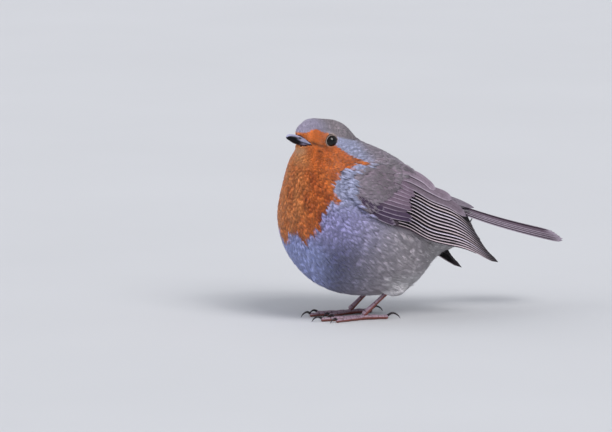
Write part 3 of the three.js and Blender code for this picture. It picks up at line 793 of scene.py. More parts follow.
def scattered(draw):
    """Roots all over the flesh, spaced by the length of their feathers."""
    a, b, c = (FLESH.points[FLESH.triangles[:, k]] for k in range(3))
    area = np.linalg.norm(np.cross(b - a, c - a), axis=1) / 2
    spacing = feather_spacing(feather_length((a + b + c) / 3))
    weight = area / spacing**2
    count = int(weight.sum() * 5)
    face = draw.choice(len(area), count, p=weight / weight.sum())
    first, second = np.sqrt(draw.random(count)), draw.random(count)
    shares = np.stack([1 - first, first * (1 - second), first * second], 1)
    points = (np.stack([a, b, c], 1)[face] * shares[:, :, None]).sum(1)
    keep = thinned(points, feather_spacing(feather_length(points)), draw)
    points = points[keep]
    return points, FLESH.facing(points, face[keep])


def open_to_air(points, normals):
    """Whether feathers can grow here, clear of the wings, tail, eyes, bill and legs."""
    under_wing = ~np.isnan(WING_PLATES.struck(points - normals * 0.5, normals, 9)[:, 0])
    straight_up = np.broadcast_to([0.0, 0.0, 1.0], points.shape)
    under_tail = ~np.isnan(TAIL_PLATE.struck(points, straight_up, 6)[:, 0])
    clear = ~under_wing & ~under_tail & (over_bill(points) > 0.15) & (LEG_SOLIDS.distance(points) > 0.7)
    clear &= in_head(points)[:, 1] > FACE_FRONT
    for centre in EYES.values():
        clear &= np.linalg.norm(points - centre, axis=1) > EYE_RADIUS + 0.15
    return clear


# One blade is a thin three-sided spike: a ring of left, right and top at its root and middle, then the tip.
BLADE = np.array(
    [
        (0, 2, 5), (0, 5, 3), (1, 4, 5), (1, 5, 2), (0, 3, 4), (0, 4, 1),
        (3, 5, 6), (4, 6, 5), (3, 6, 4), (0, 1, 2),
    ]
)
# Each blade darkens towards its root: partly the greyer down at a real feather's base, partly painted shade
# for the depth of the coat.
BLADE_DOWN_AND_SHADE = np.array([0.74, 0.74, 0.76, 0.93, 0.93, 0.96, 1.0])
BLADE_RINGS = [(0.0, 0.6), (0.52, 1.0)]  # how far along each ring is, and its breadth
PATCH = 0.003  # a tuft's share of its piece's unwrap
LONG_SHARE = 0.15  # of the tufts are long, narrow locks that lie over the others


def make_tufts(
    name, material, roots, normals, lie, length, settle, colour_of, blades, draw, way="upright", vary=1.0
):
    """One piece of tufts: sprays of thin blades that rise from the skin and lie over their neighbours."""
    count = len(roots)
    depth = coat_depth(length)
    long = draw.random(count) < LONG_SHARE
    length = length * np.where(long, 1.45, 1.0)
    half = (length / 2)[:, None]
    middle, normal_1, _ = settle(roots + lie * half)
    lie_1 = flat_to(lie, normal_1)
    tip, normal_2, over = settle(middle + lie_1 * half)
    low = roots - normals * (depth + 0.12)[:, None]
    middle = middle - normal_1 * (depth * 0.3)[:, None]
    loose = ramp(roots[:, 1], 6, 26) * ramp(-roots[:, 2], -40, -26)
    lift = depth * draw.normal(0.0, 0.11, count) + loose * draw.exponential(0.08, count)
    lift = np.where(over, np.abs(lift) * 0.4, lift) + np.where(long, 0.008 * length, 0)
    tip = tip + normal_2 * lift[:, None]
    control = 2 * middle - (low + tip) / 2

    spread = 0.21 * np.minimum(length, 7.5) ** 0.8 * np.where(long, 0.42, 1.0)
    place = np.linspace(-1, 1, blades)[None] + draw.normal(0, 0.5 / blades, (count, blades))
    reach = 1 - 0.2 * place**2 - 0.2 * draw.random((count, blades))
    pinch = draw.uniform(0.6, 1.3, count)[:, None]
    width = (0.1 + 0.042 * np.minimum(length, 7.5))[:, None] * draw.uniform(0.75, 1.25, (count, blades))
    side_0, side_2 = np.cross(lie, normals), np.cross(flat_to(lie_1, normal_2), normal_2)

    def place_on_curve(share, fan):
        along = (reach * share)[..., None]
        centre = (1 - along) ** 2 * low[:, None] + 2 * along * (1 - along) * control[:, None]
        centre = centre + along**2 * tip[:, None]
        side = unit(mix(side_0[:, None], side_2[:, None], along[..., 0]))
        up = unit(mix(normals[:, None], normal_2[:, None], along[..., 0]))
        out = place * fan * spread[:, None]
        rise = draw.normal(0, 0.05, (count, blades)) * depth[:, None] - 0.1 * out**2
        return centre + side * out[..., None] + up * rise[..., None], side, up

    rings = []
    for share, breadth in BLADE_RINGS:
        centre, side, up = place_on_curve(share, 0.35 + share)
        edge = side * (width * breadth / 2)[..., None]
        crest = up * (width * breadth * 0.22)[..., None]
        rings += [centre - edge, centre + edge, centre + crest]
    rings.append(place_on_curve(1.0, pinch)[0])
    blade_points = np.stack(rings, 2)

    seen = mix(roots, tip, np.full(count, 0.65))
    tuft_vary = draw.normal(0, 1, (count, 1)) * np.where(long, 0.07, 0.04)[:, None]
    colours = colour_of(seen) * (1 + vary * tuft_vary)
    by_blade = colours[:, None] * (1 + vary * draw.normal(0, 0.08, (count, blades, 1)))
    by_point = by_blade[:, :, None] * BLADE_DOWN_AND_SHADE[:, None]

    across = np.broadcast_to(place[..., None], (count, blades, 7))
    along = np.broadcast_to([0, 0, 0, 0.5, 0.5, 0.5, 1.0], (count, blades, 7))
    patch = np.stack([across * 0.4, along - 0.5], 3) * PATCH
    spots = (unwrapped(roots, way)[:, None, None] + patch).reshape(-1, 2)
    triangles = (BLADE + 7 * np.arange(count * blades)[:, None, None]).reshape(-1, 3)
    return add_piece(
        name,
        blade_points.reshape(-1, 3),
        triangles,
        material,
        by_point.reshape(-1, 3).clip(0, 1),
        {"OFBake": spots[triangles]},
    )


def coat_region(points):
    """The coat piece that each root belongs to."""
    side, back, height = points.T
    head = np.linalg.norm(points - HEAD_AT, axis=1) < 15
    upper = (height > 52 - 0.35 * back) & (back > 2)
    left = np.where(side > 1, "left", "right")
    place = np.where(upper, "back", np.where(back > 2, "flank", np.where(height < 38, "belly", "breast")))
    place = np.where(head, "head", place)
    return np.where(upper & ~head, "back", np.char.add(np.char.add(place, "_"), left))


def make_coat(material):
    draw = np.random.default_rng(5)
    points, normals = scattered(draw)
    keep = open_to_air(points, normals)
    points, normals = points[keep], normals[keep]
    regions = coat_region(points)
    for region in sorted(set(regions)):
        chosen = regions == region
        roots, facing = points[chosen], normals[chosen]
        longer = 1 + 0.8 * ramp(-roots[:, 2], -50, -40) * ramp(roots[:, 1], -16, 0) * (region != "back")
        length = feather_length(roots) * longer * draw.uniform(0.85, 1.15, len(roots))
        blades = 8 if region.startswith("head") else 13
        lie = lie_of(roots, facing)
        way = "long" if region == "back" else "upright"
        make_tufts(
            f"coat_{region}", material, roots, facing, lie, length, settle_on_body, markings_and_painted_light,
            blades, draw, way,
        )


def make_wing_coat(material, wing, word):
    """The soft lesser coverts and scapulars over the front of a wing."""
    draw = np.random.default_rng(7)
    v = draw.uniform(-0.02, 0.96, 6000)
    u = draw.uniform(-0.01, 0.34, 6000)
    keep = u < 0.33 - 0.24 * v
    u, v = u[keep], v[keep]
    points, _ = wing.at(u, v)
    length = 5.6 + 2.4 * (1 - v) + draw.normal(0, 0.3, len(v))
    keep = thinned(points, feather_spacing(length), draw)
    u, v, length = u[keep], v[keep], length[keep]
    points, normals = wing.at(u, v)
    back = wing.at(u + 0.03, v)[0] - points
    down = wing.at(u, v + 0.03)[0] - points
    sway = 0.25 * ripple(points, 5.0, 61)[:, None]
    lie = flat_to(unit(back) + unit(down) * (0.35 * (1 - v)[:, None] + sway), normals)

    def settle(places):
        at, facing = wing.face.nearest(places)
        return at + facing * 0.45, facing, np.ones(len(at), bool)

    def colour_of(places):
        soft = 0.5 + 0.5 * ripple(places, 9.0, 62)
        streaks = ramp(ripple(places * [0.6, 0.5, 1.4], 2.2, 63), 0.5, 1.0) * ramp(places[:, 2], 54, 60)
        return mix(mix(COVERT, MANTLE, 0.6 * soft), VANE_DARK, 0.5 * streaks)

    make_tufts(
        f"coat_wing_{word}", material, points, normals, lie, length, settle, colour_of, 14, draw, "long", 0.5
    )


# ---------------------------------------------------------------- vanes

ACROSS = np.array([-1.0, -0.9, -0.74, -0.62, -0.4, -0.07, 0.0, 0.07, 0.4, 0.62, 0.74, 0.9, 1.0])


def vane(shaft, normals, lower, upper, tilt=0.0, thickness=0.14, camber=0.12):
    """A closed feather from its shaft's points and its breadth to each side. tilt leans it like a slate."""
    along = unit(np.gradient(shaft, axis=0))
    side = unit(np.cross(along, normals))
    breadth = np.where(ACROSS < 0, upper[:, None], lower[:, None]) * ACROSS
    height = tilt * breadth - camber * (ACROSS**2) * np.maximum(upper, lower)[:, None]
    height = height + 0.5 * thickness * (np.abs(ACROSS) < 0.05)
    top = shaft[:, None] + side[:, None] * breadth[..., None] + normals[:, None] * height[..., None]
    thin = thickness * (1.1 - 0.7 * np.abs(ACROSS))
    base = top - normals[:, None] * thin[:, None]
    rings = np.concatenate([top, base[:, ::-1]], 1)
    points, triangles = loft(rings)
    span = np.concatenate([[0], np.cumsum(np.linalg.norm(np.diff(shaft, axis=0), axis=1))])
    ring_across = np.concatenate([ACROSS, ACROSS[::-1]])
    spots = np.stack(np.broadcast_arrays(span[:, None] / span[-1], ring_across[None]), 2).reshape(-1, 2)
    ring_breadth = np.concatenate([breadth, breadth[:, ::-1]], 1)
    millimetres = np.stack(np.broadcast_arrays(span[:, None], ring_breadth), 2).reshape(-1, 2)
    ends = np.array([[0, 0], [1, 0]])
    return points, triangles, np.vstack([spots, ends]), np.vstack([millimetres, ends * span[-1]])


def rounded(along, full, tip=0.75, root=0.45):
    """A feather's breadth from its root to its rounded tip."""
    swell = root + (1 - root) * ramp(along, 0, 0.45)
    end = np.clip((along - tip) / (1 - tip), 0, 1)
    return full * swell * np.sqrt(np.maximum(1 - end**2, 0.0004))


def mirrored(paint):
    """The paint with the vane's two sides swapped."""
    return lambda along, across: paint(along, -across)


class Feathers(Heap):
    """Vanes gathered into one piece, each with its own cell of the bake map."""

    def __init__(self, cells):
        super().__init__()
        self.grid, self.used = math.ceil(math.sqrt(cells)), 0

    def lay(self, shaft, normals, lower, upper, paint, **shape):
        points, triangles, spots, millimetres = vane(shaft, normals, lower, upper, **shape)
        cell = np.array(divmod(self.used, self.grid))
        self.used += 1
        inset = 0.06 + 0.88 * np.stack([spots[:, 0], (spots[:, 1] + 1) / 2], 1)
        colours = paint(spots[:, 0], spots[:, 1])
        self.add(points, triangles, colours, OFBake=(cell + inset) / self.grid, Vane=millimetres)


def painter(centre, edge, tip_edge=0.6, outer=1.0, inner=0.5, draw=None, broad=0.7, fade=0.35):
    """Colours over a vane: dark along the shaft, paler at the rim, most of all on the leading side."""
    vary = 1 + (draw.normal(0, 0.07) if draw is not None else 0)

    def paint(along, across):
        rim = ramp(np.where(across > 0, across, 0), broad, 0.84) * outer * (1 - fade * ramp(along, 0.6, 1.0))
        rim = np.maximum(rim, ramp(np.where(across < 0, -across, 0), 0.8, 1.0) * inner)
        rim = np.maximum(rim, ramp(along, 0.9, 1.0) * tip_edge)
        colour = mix(centre[None], edge[None], rim) * vary
        shaft = (np.abs(across) < 0.05) * (1 - ramp(along, 0.85, 1.0))
        return mix(colour, SHAFT[None], 0.5 * shaft)

    return paint


# ---------------------------------------------------------------- wings

WING_CELLS = (40, 24)


class Wing:
    """The outer face of a folded wing: u runs from wrist to tip, v from the upper rim to the lower."""

    def __init__(self, side):
        self.side = side
        word = "left" if side > 0 else "right"
        solid = Surface(*node_mesh(f"wing_{word}"))
        droop = turn_about(0, -WING_DROOP[side])
        u = np.linspace(0, 1, WING_CELLS[0] + 1)
        v = np.linspace(0, 1, WING_CELLS[1] + 1)
        upper, lower = spline(WING_UPPER, u), spline(WING_LOWER, u)
        grid = upper[:, None] + (lower - upper)[:, None] * v[None, :, None]
        out = unit(np.cross(np.gradient(grid, axis=1), np.gradient(grid, axis=0)))
        out *= np.sign(out[..., :1])
        grid = (grid - SHOULDER) @ droop.T + SHOULDER
        out = out @ droop.T
        grid[..., 0] *= side
        out[..., 0] *= side
        flat, aim = grid.reshape(-1, 3), out.reshape(-1, 3)
        rise = ((solid.struck(flat + aim * 15, -aim, 22) - flat) * aim).sum(1).reshape(grid.shape[:2])
        self.grid = grid + out * self.evened(rise)[..., None]
        self.normals = self.facing_of(self.grid, out)
        cells = np.arange(self.grid[..., 0].size).reshape(self.grid.shape[:2])
        a, b, c, d = cells[:-1, :-1], cells[1:, :-1], cells[1:, 1:], cells[:-1, 1:]
        triangles = np.concatenate([np.stack([a, b, c], -1), np.stack([a, c, d], -1)]).reshape(-1, 3)
        self.face = Surface(self.grid.reshape(-1, 3), triangles, self.normals.reshape(-1, 3))

    @staticmethod
    def evened(rise):
        """The bulge with its gaps filled from their neighbours and its facets smoothed away."""
        missing = np.isnan(rise)
        rise = np.where(missing, 0.4, rise)
        for _ in range(14):
            padded = np.pad(rise, 1, mode="edge")
            rise = (
                2 * rise + padded[:-2, 1:-1] + padded[2:, 1:-1] + padded[1:-1, :-2] + padded[1:-1, 2:]
            ) / 6
        return rise

    @staticmethod
    def facing_of(grid, out):
        normals = unit(np.cross(np.gradient(grid, axis=0), np.gradient(grid, axis=1)))
        return normals * np.sign((normals * out).sum(-1, keepdims=True))

    def at(self, u, v, lift=0.0):
        """Points and normals of the face at u and v, raised by lift. It runs on straight past a rim."""
        spots = [np.asarray(u) * WING_CELLS[0], np.asarray(v) * WING_CELLS[1]]
        index = [np.clip(s.astype(int), 0, n - 1) for s, n in zip(spots, WING_CELLS)]
        share = [(s - i)[:, None] for s, i in zip(spots, index)]
        blended = []
        for values in (self.grid, self.normals):
            near, far = (
                values[index[0] + step, index[1]] * (1 - share[1])
                + values[index[0] + step, index[1] + 1] * share[1]
                for step in (0, 1)
            )
            blended.append(near * (1 - share[0]) + far * share[0])
        normals = unit(blended[1])
        return blended[0] + normals * np.asarray(lift).reshape(-1, 1), normals


def bent(points, count):
    """count places along the curve through a few (u, v, lift) places."""
    return spline(points, np.linspace(0, 1, count)).T


def lay_on_wing(heap, wing, path, breadths, paint, rows=12, tip=0.75, tilt=0.12, camber=0.12):
    """One feather on a wing: path is a few (u, v, lift) places, breadths its lower and upper halves."""
    u, v, lift = bent(path, rows)
    shaft, normals = wing.at(u, v, lift)
    along = np.linspace(0, 1, rows)
    lower, upper = (rounded(along, full, tip) for full in breadths)
    if wing.side < 0:
        lower, upper, tilt = upper, lower, -tilt
        paint = mirrored(paint)
    heap.lay(shaft, normals, lower, upper, paint, tilt=tilt, camber=camber)


FLIGHT_COUNT = 13


def flight_feathers(heap, wing, draw):
    """The tertials, secondaries and primaries, each showing its pale lower edge below the one before."""
    for index in reversed(range(FLIGHT_COUNT)):
        low = index / (FLIGHT_COUNT - 1)
        start = (0.30 + 0.05 * low, 0.42 + 0.52 * low, -0.55)
        middle = (0.62 + 0.06 * low, 0.20 + 0.72 * low, -0.3)
        end = (0.825 + 0.175 * low**0.9, -0.04 + 0.84 * low**1.2, -0.25)
        edge = mix(VANE_EDGE, VANE_BUFF, 0.35 * draw.random())
        if index == 0:
            edge = VANE_DARK * 0.5
        paint = painter(VANE_DARK, edge, 0.1, 1.0, 0.1, draw, 0.6, 0.85)
        breadth = 1.7 - 0.35 * low
        lay_on_wing(heap, wing, [start, middle, end], (breadth, breadth * 1.15), paint, 26, 0.86, 0.13, 0.05)
    for index, (end_u, end_v, out) in enumerate([(0.80, -0.01, 1.0), (0.70, -0.02, 1.1), (0.58, 0.05, 1.1)]):
        start = (0.26, 0.40 - 0.09 * index, -0.1 + 0.18 * index)
        middle = ((0.26 + end_u) / 2 + 0.03, 0.24 - 0.09 * index, 0.05 + 0.2 * index)
        end = (end_u, end_v, 0.0 + 0.2 * index)
        paint = painter(COVERT * (0.7 + 0.12 * index), mix(COVERT, VANE_EDGE, 0.4), 0.4, out * 0.7, 0.3, draw)
        lay_on_wing(heap, wing, [start, middle, end], (2.7, 2.9), paint, 24, 0.8, 0.1, 0.08)


def wing_coverts(heap, wing, draw):
    """The rows of coverts, from the greater ones up to the small ones at the wrist, and the alula."""
    for index in reversed(range(6)):
        share = index / 5
        start = (0.08, 0.86 + 0.1 * share, -0.35)
        end = (0.27 + 0.06 * share, 0.80 + 0.17 * share, -0.1)
        paint = painter(PRIMARY_COVERT, VANE_EDGE * 0.7, 0.5, 0.6, 0.1, draw)
        lay_on_wing(heap, wing, [start, end], (1.0, 1.4), paint, 12, 0.9, 0.12)
    for index in reversed(range(10)):
        share = index / 9
        start = (0.15 - 0.05 * share, 0.30 + 0.58 * share, 0.0)
        end = (0.40 + 0.03 * share + draw.normal(0, 0.018), 0.38 + 0.47 * share, 0.05)
        tone = mix(GREATER * 0.8, PRIMARY_COVERT, ramp(share, 0.45, 1.0))
        paint = painter(tone, mix(tone, VANE_EDGE, 0.4), 0.0, 0.8, 0.1, draw)
        lay_on_wing(heap, wing, [start, end], (1.4, 1.8), paint, 18, 0.5, 0.13)
    for index in reversed(range(3)):
        start = (0.07, 0.80 + 0.04 * index, 0.25)
        end = (0.24 - 0.03 * index, 0.83 + 0.05 * index, 0.3)
        paint = painter(PRIMARY_COVERT * 1.1, VANE_EDGE * 0.75, 0.4, 0.7, 0.1, draw)
        lay_on_wing(heap, wing, [start, end], (1.1, 1.5), paint, 12, 0.85, 0.12)


def wing_bed(wing):
    """The sheet of down and feather roots that the vanes lie on."""
    u = np.linspace(0.015, 0.9, 36)
    v = np.linspace(0.02, 0.98, 14)
    rings = []
    for place in u:
        inner = 0.75 + 0.5 * (1 - place)
        reach = np.full(len(v), place)
        top, normals = wing.at(reach, v, np.full(len(v), -0.85))
        under = top - normals * inner * (0.25 + 0.75 * np.sin(np.pi * v))[:, None]
        rings.append(np.concatenate([top, under[::-1]]))
    points, triangles = loft(np.array(rings))
    return points, triangles


def make_wings(material, soft, coat):
    for side, word in SIDES:
        draw = np.random.default_rng(31)
        wing = Wing(side)
        make_wing_coat(coat, wing, word)
        bed = Heap()
        points, triangles = wing_bed(wing)
        bed.add(points, triangles, VANE_BROWN * 0.5)
        bed_piece = bed.piece(f"wing_bed_{word}", soft, "flight_feathers")
        flight = Feathers(FLIGHT_COUNT + 3)
        flight_feathers(flight, wing, draw)
        flight.piece(f"wing_flight_{word}", material, "flight_feathers")
        coverts = Feathers(6 + 10 + 3)
        wing_coverts(coverts, wing, draw)
        coverts.piece(f"wing_coverts_{word}", material, "flight_feathers")
        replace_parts(bed_piece, f"wing_{word}")


# ---------------------------------------------------------------- tail

TAIL_PAIRS = 6
TAIL_COVERTS = 6  # to a row


def make_tail(material):
    """Six pairs of long feathers, folded under each other with the central pair on top."""
    draw = np.random.default_rng(41)
    heap = Feathers(TAIL_PAIRS * 2)
    along = np.linspace(0, 1, 30)
    for pair in reversed(range(TAIL_PAIRS)):
        for side in (1, -1):
            out = 0.9 + pair * np.array([0.95, 1.35])
            reach = 1 - 0.012 * abs(pair - 4)
            centre = TAIL_ROOT + (TAIL_TIP - TAIL_ROOT) * (along * reach)[:, None]
            centre[:, 2] -= TAIL_SAG * np.sin(np.pi * along)
            centre[:, 0] += side * (out[0] + (out[1] - out[0]) * along)
            centre[:, 2] += 0.55 - 0.22 * pair - 0.06 * pair**2 + (0.05 if side > 0 else 0.0)
            lean = np.array([0.16 * side * (1 + pair * 0.35), 0.3, 1.0])
            normals = np.broadcast_to(unit(lean), centre.shape)
            normals = flat_to(normals, unit(np.gradient(centre, axis=0)))
            wide, narrow = rounded(along, 3.1, 0.9, 0.6), rounded(along, 1.9, 0.9, 0.6)
            centre_tone = VANE_BROWN * (1.35 - 0.16 * pair)
            paint = painter(centre_tone, mix(VANE_BROWN, VANE_EDGE, 0.55), 0.7, 0.8, 0.3, draw)
            if side > 0:
                heap.lay(centre, normals, narrow, wide, paint, camber=0.08)
            else:
                heap.lay(centre, normals, wide, narrow, mirrored(paint), camber=0.08)
    piece = heap.piece("tail_feathers", material, "flight_feathers")
    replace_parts(piece, "tail")
    tail_coverts(material, draw)


def tail_coverts(material, draw):
    """Soft feathers in two rows over the root of the tail, and in two under it."""
    heap = Feathers(2 * 2 * TAIL_COVERTS)
    along = np.linspace(0, 1, 16)
    down = unit(TAIL_TIP - TAIL_ROOT)
    # The upper coverts take the mantle's colour at 0.6: painted shade, as in the self-shadowed coat around
    # them; the lower ones take the vent's colour at 0.7.
    for above, tone in ((1, MANTLE * 0.6), (-1, VENT * 0.7)):
        for row in (0, 1):
            for index in range(TAIL_COVERTS):
                across = (index - (TAIL_COVERTS - 1) / 2) * 2.2 + 0.4 * draw.normal()
                length = 15.0 + 6.0 * (1 - row) - 0.05 * across**2 + draw.normal()
                start = TAIL_ROOT + [across * 0.8, -5.0 + 2.5 * (1 - row), (2.0 if above > 0 else -3.4)]
                clear = (0.7 + 0.1 * row) * above - 1.2 * (above < 0)
                finish = TAIL_ROOT + down * (length - 3) + [across, 0, clear]
                bow = np.sin(np.pi * along)[:, None] * [0, 0, 0.6 * above]
                shaft = start + (finish - start) * along[:, None] + bow
                lean = unit(np.array([0.12 * across, 0.3, 1.0 * above]))
                normals = flat_to(np.broadcast_to(lean, shaft.shape), unit(np.gradient(shaft, axis=0)))
                half = rounded(along, 2.3, 0.55, 0.7)
                paint = painter(tone, tone * 1.12, 0.3, 0.4, 0.4, draw)
                heap.lay(shaft, normals, half, half, paint, camber=0.14)
    heap.piece("tail_coverts", material, "flight_feathers")


# ---------------------------------------------------------------- eyes


def frame_about(axis):
    """Two unit vectors square to the axis, the first one as level as can be."""
    level = unit(np.cross([0.0, 0.0, 1.0], axis))
    return level, np.cross(axis, level)


def make_eyes(glass, lid_material):
    lids = Heap()
    for side, word in SIDES:
        centre = EYES[side]
        axis = unit(HEAD_TURN @ np.array([side * 1.0, -0.12, 0.06]))
        level, up = frame_about(axis)
        polar = np.linspace(0.02, math.pi - 0.02, 40)
        spin = np.linspace(0, 2 * math.pi, 56, endpoint=False)
        rings = []
        for turn in polar:
            radius = EYE_RADIUS + 0.12 * math.exp(-((turn / 0.5) ** 2))
            ring = axis * math.cos(turn) + math.sin(turn) * (
                np.cos(spin)[:, None] * level + np.sin(spin)[:, None] * up
            )
            rings.append(centre + ring * radius)
        points, triangles = loft(np.array(rings))
        away = np.arccos(np.clip(unit(points - centre) @ axis, -1, 1))
        iris = ramp(away, 0.42, 0.5) * (1 - ramp(away, 0.8, 0.95))
        colours = mix(PUPIL, IRIS, 0.5 * iris)
        ball = Heap()
        ball.add(points, triangles, colours)
        piece = ball.piece(f"eyeball_{word}", glass, "eye")
        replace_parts(piece, f"eye_{word}")
        back = EYE_RADIUS - EYE_SHOWN
        opening = math.sqrt(EYE_RADIUS**2 - back**2)
        rings = []
        roll = np.linspace(0, 2 * math.pi, 12, endpoint=False)
        for turn in np.linspace(0, 2 * math.pi, 72, endpoint=False):
            stretch = 1 + 0.06 * abs(math.cos(turn)) ** 3
            out = math.cos(turn) * level * stretch + math.sin(turn) * up * 0.97
            middle = centre + axis * (back + LID_SUNK) + out * (opening + LID_OUT)
            radius = LID_RADIUS * (1 + 0.12 * math.sin(turn * 23))
            rings.append(middle + radius * (np.cos(roll)[:, None] * out + np.sin(roll)[:, None] * axis))
        rings.append(rings[0])
        points, triangles = loft(np.array(rings))
        lids.add(points, triangles[:-24], LID)  # without the two end caps
    lids.piece("eyelids", lid_material, "eye")


# ---------------------------------------------------------------- legs and feet


def limb(path, radii, scutes, around=20, per=6, plates=0.07):
    """A scaly tube along a path of points: overlapping plates on its upper side, small ones under it."""
    count = scutes * per
    share = np.linspace(0, 1, count)
    middle = spline(path, share)
    radius = values_along(radii, share)
    run = np.concatenate([[0], np.cumsum(np.linalg.norm(np.diff(middle, axis=0), axis=1))])
    from_end = np.minimum(run, run[-1] - run) / radius
    radius = radius * np.sqrt(1 - (1 - from_end.clip(0.02, 1)) ** 2)
    along = unit(np.gradient(middle, axis=0))
    up = flat_to(np.broadcast_to([0.0, 0.0, 1.0], along.shape), along)
    side = np.cross(along, up)
    turn = np.linspace(0, 2 * math.pi, around, endpoint=False)
    beat = share * scutes + 0.22 * np.sin(share * scutes * 1.7)
    step = beat % 1.0
    front = ramp(np.sin(turn), -0.1, 0.4)
    ridge = plates * (step**0.6 - 0.5)
    small = 0.03 * np.sin(share * scutes * 4 * math.pi)[:, None] * np.sin(turn * 5)[None]
    swell = 1 + ridge[:, None] * front[None] + small * (1 - front)[None]
    rings = middle[:, None] + radius[:, None, None] * swell[..., None] * (
        np.cos(turn)[None, :, None] * side[:, None] + np.sin(turn)[None, :, None] * up[:, None]
    )
    # Painted light and shade: lighter on the upper side and towards each plate's raised end, darker
    # underneath, as if lit from above.
    colours = mix(LEG_UNDER_SHADED, LEG_TOP_LIT, np.broadcast_to(front, swell.shape) * (0.75 + 0.25 * step[:, None]))
    seam = (step < 0.2) * (0.55 + 0.3 * np.sin(2.4 * np.floor(beat)))
    colours = mix(colours, LEG_SEAM, seam[:, None] * front[None])
    return rings, np.concatenate([colours.reshape(-1, 3), colours[0, :1], colours[-1, :1]])


def toe_point(side, toe, reach, height):
    turn = toe["turn"]
    return [side * (STANCE + math.sin(turn) * reach), -math.cos(turn) * reach, height]


def make_legs(scales, horn):
    for side, word in SIDES:
        radius = TARSUS["radius"]
        run = math.cos(TARSUS["rise"])
        lean = unit(np.array([side * math.sin(TARSUS["splay"]) * run, run, math.sin(TARSUS["rise"])]))
        root = np.array([side * STANCE, 0, 1.9])
        path = [root + lean * TARSUS["length"] * s for s in (0, 0.33, 0.66, 1)]
        radii = [radius * s for s in (1.3, 1.02, 0.92, 0.98, 1.1)]
        rings, colours = limb(path, radii, 9)
        shank = Heap()
        shank.add(*loft(rings), colours)
        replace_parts(shank.piece(f"shank_{word}", scales, "leg_scale"), f"tarsus_{word}")
        foot = Heap()
        for toe in TOES:
            radius, length = toe["radius"], toe["length"]
            path = [
                toe_point(side, toe, reach, radius * height)
                for reach, height in ((-0.9, 1.0), (3.5, 0.95), (length * 0.6, 0.92), (length + 0.7, 0.8))
            ]
            radii = [radius * s for s in (1.15, 1.0, 0.94, 0.88, 0.82, 0.76)]
            rings, colours = limb(path, radii, 5 + toe["joints"] * 2, plates=0.12)
            joints = np.cos(np.linspace(0, toe["joints"] * 2 * math.pi, rings.shape[0]))
            centre = rings.mean(1, keepdims=True)
            rings = centre + (rings - centre) * (1 + 0.1 * joints)[:, None, None]
            rings[..., 2] = np.maximum(rings[..., 2], 0.0)
            foot.add(*loft(rings), colours)
        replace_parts(foot.piece(f"toes_{word}", scales, "leg_scale"), f"foot_{word}")
        for toe in TOES:
            radius, claw = toe["radius"], toe["claw"]
            start = toe["length"] - 0.4
            path = [
                toe_point(side, toe, start + reach * claw, height)
                for reach, height in (
                    (0.0, radius * 0.85),
                    (0.42, radius * 0.85 + 0.24 * claw),
                    (0.78, radius * 0.65 + 0.14 * claw),
                    (0.98, 0.06),
                )
            ]
            share = np.linspace(0, 1, 26)
            middle = spline(path, share)
            along = unit(np.gradient(middle, axis=0))
            up = flat_to(np.broadcast_to([0.0, 0.0, 1.0], along.shape), along)
            across = np.cross(along, up)
            turn = np.linspace(0, 2 * math.pi, 14, endpoint=False)
            size = (0.55 * (1 - share) ** 0.7 + 0.03)[:, None, None]
            level_out = 0.75 * np.cos(turn)[None, :, None] * across[:, None]
            rings = middle[:, None] + size * (level_out + np.sin(turn)[None, :, None] * up[:, None])
            rings[..., 2] = np.maximum(rings[..., 2], 0.0)
            points, triangles = loft(rings)
            nail = Heap()
            nail.add(points, triangles, NAIL)
            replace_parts(nail.piece(f"nail_{toe['name']}_{word}", horn, "claw"), f"claw_{toe['name']}_{word}")


# ---------------------------------------------------------------- hard materials


def hard_material(name, roughness, grain, coat=0.0, gloss=0.4):
    material, tree, shader = new_material(
        name, Coat_Weight=coat, Coat_Roughness=0.12, Specular_IOR_Level=gloss
    )
    mottled = tinted(tree, plumage(tree), noise_share(tree, grain, 0.8, 1.2))
    tree.links.new(mottled, shader.inputs["Base Color"])
    tree.links.new(noise_share(tree, grain, roughness - 0.08, roughness + 0.08), shader.inputs["Roughness"])
    bump(tree, shader, noise_share(tree, grain * 2, 0.0, 1.0), 0.2, 0.00008)
    return material


def eye_material():
    material, tree, shader = new_material("eye_surface", Specular_IOR_Level=0.35)
    mottled = tinted(tree, plumage(tree), noise_share(tree, 2500.0, 0.7, 1.3))
    tree.links.new(mottled, shader.inputs["Base Color"])
    tree.links.new(noise_share(tree, 900.0, 0.02, 0.05), shader.inputs["Roughness"])
    return material


# ---------------------------------------------------------------- stage, light and camera


FLOOR_REACH = 60.0  # metres


def make_stage():
    material, tree, shader = new_material("floor_paint")
    mottled = tinted(tree, (0.62, 0.63, 0.65), noise_share(tree, 6.0, 0.985, 1.015))
    tree.links.new(mottled, shader.inputs["Base Color"])
    shader.inputs["Roughness"].default_value = 0.9
    mesh = bpy.data.meshes.new("floor")
    corners = [(x * FLOOR_REACH, y * FLOOR_REACH, 0) for x, y in ((-1, -1), (1, -1), (1, 1), (-1, 1))]
    mesh.from_pydata(corners, [], [(0, 1, 2, 3)])
    mesh.materials.append(material)
    floor = bpy.data.objects.new("floor", mesh)
    bpy.context.scene.collection.objects.link(floor)


def add_light(name, kind, energy, towards, colour=(1.0, 1.0, 1.0), **settings):
    lamp = bpy.data.lights.new(name, kind)
    lamp.energy, lamp.color = energy, colour
    for key, value in settings.items():
        setattr(lamp, key, value)
    light = bpy.data.objects.new(name, lamp)
    bpy.context.scene.collection.objects.link(light)
    light.rotation_euler = Vector(towards).to_track_quat("-Z", "Y").to_euler()
    return light


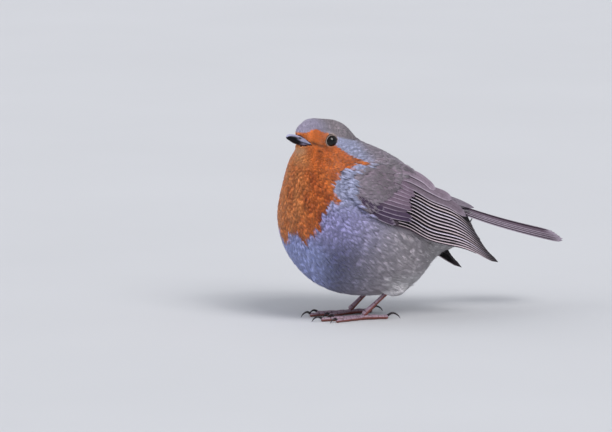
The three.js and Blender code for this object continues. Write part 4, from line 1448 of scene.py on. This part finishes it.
def make_lights():
    """A soft key light over the bird's left side, a broad one ahead of it and an even surround."""
    world = bpy.data.worlds.new("studio")
    bpy.context.scene.world = world
    world.use_nodes = True
    surround = world.node_tree.nodes["Background"].inputs
    surround["Color"].default_value = (0.86, 0.9, 1.0, 1)
    surround["Strength"].default_value = 0.5
    add_light("key", "SUN", 1.8, (-0.665, -0.184, -0.722), (1.0, 0.98, 0.97), angle=math.radians(34))
    add_light("catch", "SUN", 0.25, (-0.665, -0.184, -0.722), angle=math.radians(7))
    add_light("front", "SUN", 1.1, (0.25, 0.9, -0.45), (1.0, 0.97, 0.94), angle=math.radians(70))


CAMERA_AZIMUTH, CAMERA_ELEVATION = math.radians(70), math.radians(8)
CAMERA_DISTANCE = 2.5
PHOTO_WIDTH, PHOTO_MIDDLE = 612, (306, 216)
PIXELS_PER_MM = 2.4
AIM_AT, AIM_PIXEL = np.array([0.0, 15.0, 42.0]), (389.8, 215.5)


def make_camera():
    """The camera stands at the photograph's viewing angle, with one pixel to 1/2.4 mm at the body."""
    cos, sin = math.cos(CAMERA_ELEVATION), math.sin(CAMERA_ELEVATION)
    back = np.array([math.sin(CAMERA_AZIMUTH) * cos, -math.cos(CAMERA_AZIMUTH) * cos, sin])
    right = np.array([math.cos(CAMERA_AZIMUTH), math.sin(CAMERA_AZIMUTH), 0.0])
    up = np.cross(back, right)
    middle = AIM_AT + right * (PHOTO_MIDDLE[0] - AIM_PIXEL[0]) / PIXELS_PER_MM
    middle = middle + up * (AIM_PIXEL[1] - PHOTO_MIDDLE[1]) / PIXELS_PER_MM
    lens = bpy.data.cameras.new("camera")
    lens.lens = lens.sensor_width * CAMERA_DISTANCE / (PHOTO_WIDTH / PIXELS_PER_MM * MM)
    lens.clip_start, lens.clip_end = 0.05, 200
    camera = bpy.data.objects.new("camera", lens)
    camera.location = Vector(middle * MM + ORIGIN + back * CAMERA_DISTANCE)
    camera.rotation_mode = "QUATERNION"
    camera.rotation_quaternion = Vector(-back).to_track_quat("-Z", "Y")
    bpy.context.scene.collection.objects.link(camera)
    bpy.context.scene.camera = camera


# ---------------------------------------------------------------- assembly

COAT = soft_material("coat_feathers", 800.0, 0.25)
DOWN = soft_material("down", 1200.0, 0.1)
VANES = vane_material("vanes")

make_skin(DOWN)
make_coat(COAT)
make_wings(VANES, DOWN, COAT)
make_tail(VANES)
make_bill(hard_material("bill_horn", 0.36, 600.0, 0.0, 0.16))
make_eyes(eye_material(), hard_material("lid_skin", 0.6, 1500.0))
make_legs(hard_material("leg_scales", 0.45, 900.0, 0.1), hard_material("claw_horn", 0.3, 900.0, 0.1, 0.3))
make_stage()
make_lights()
make_camera()
bpy.context.scene.view_settings.view_transform = "Standard"
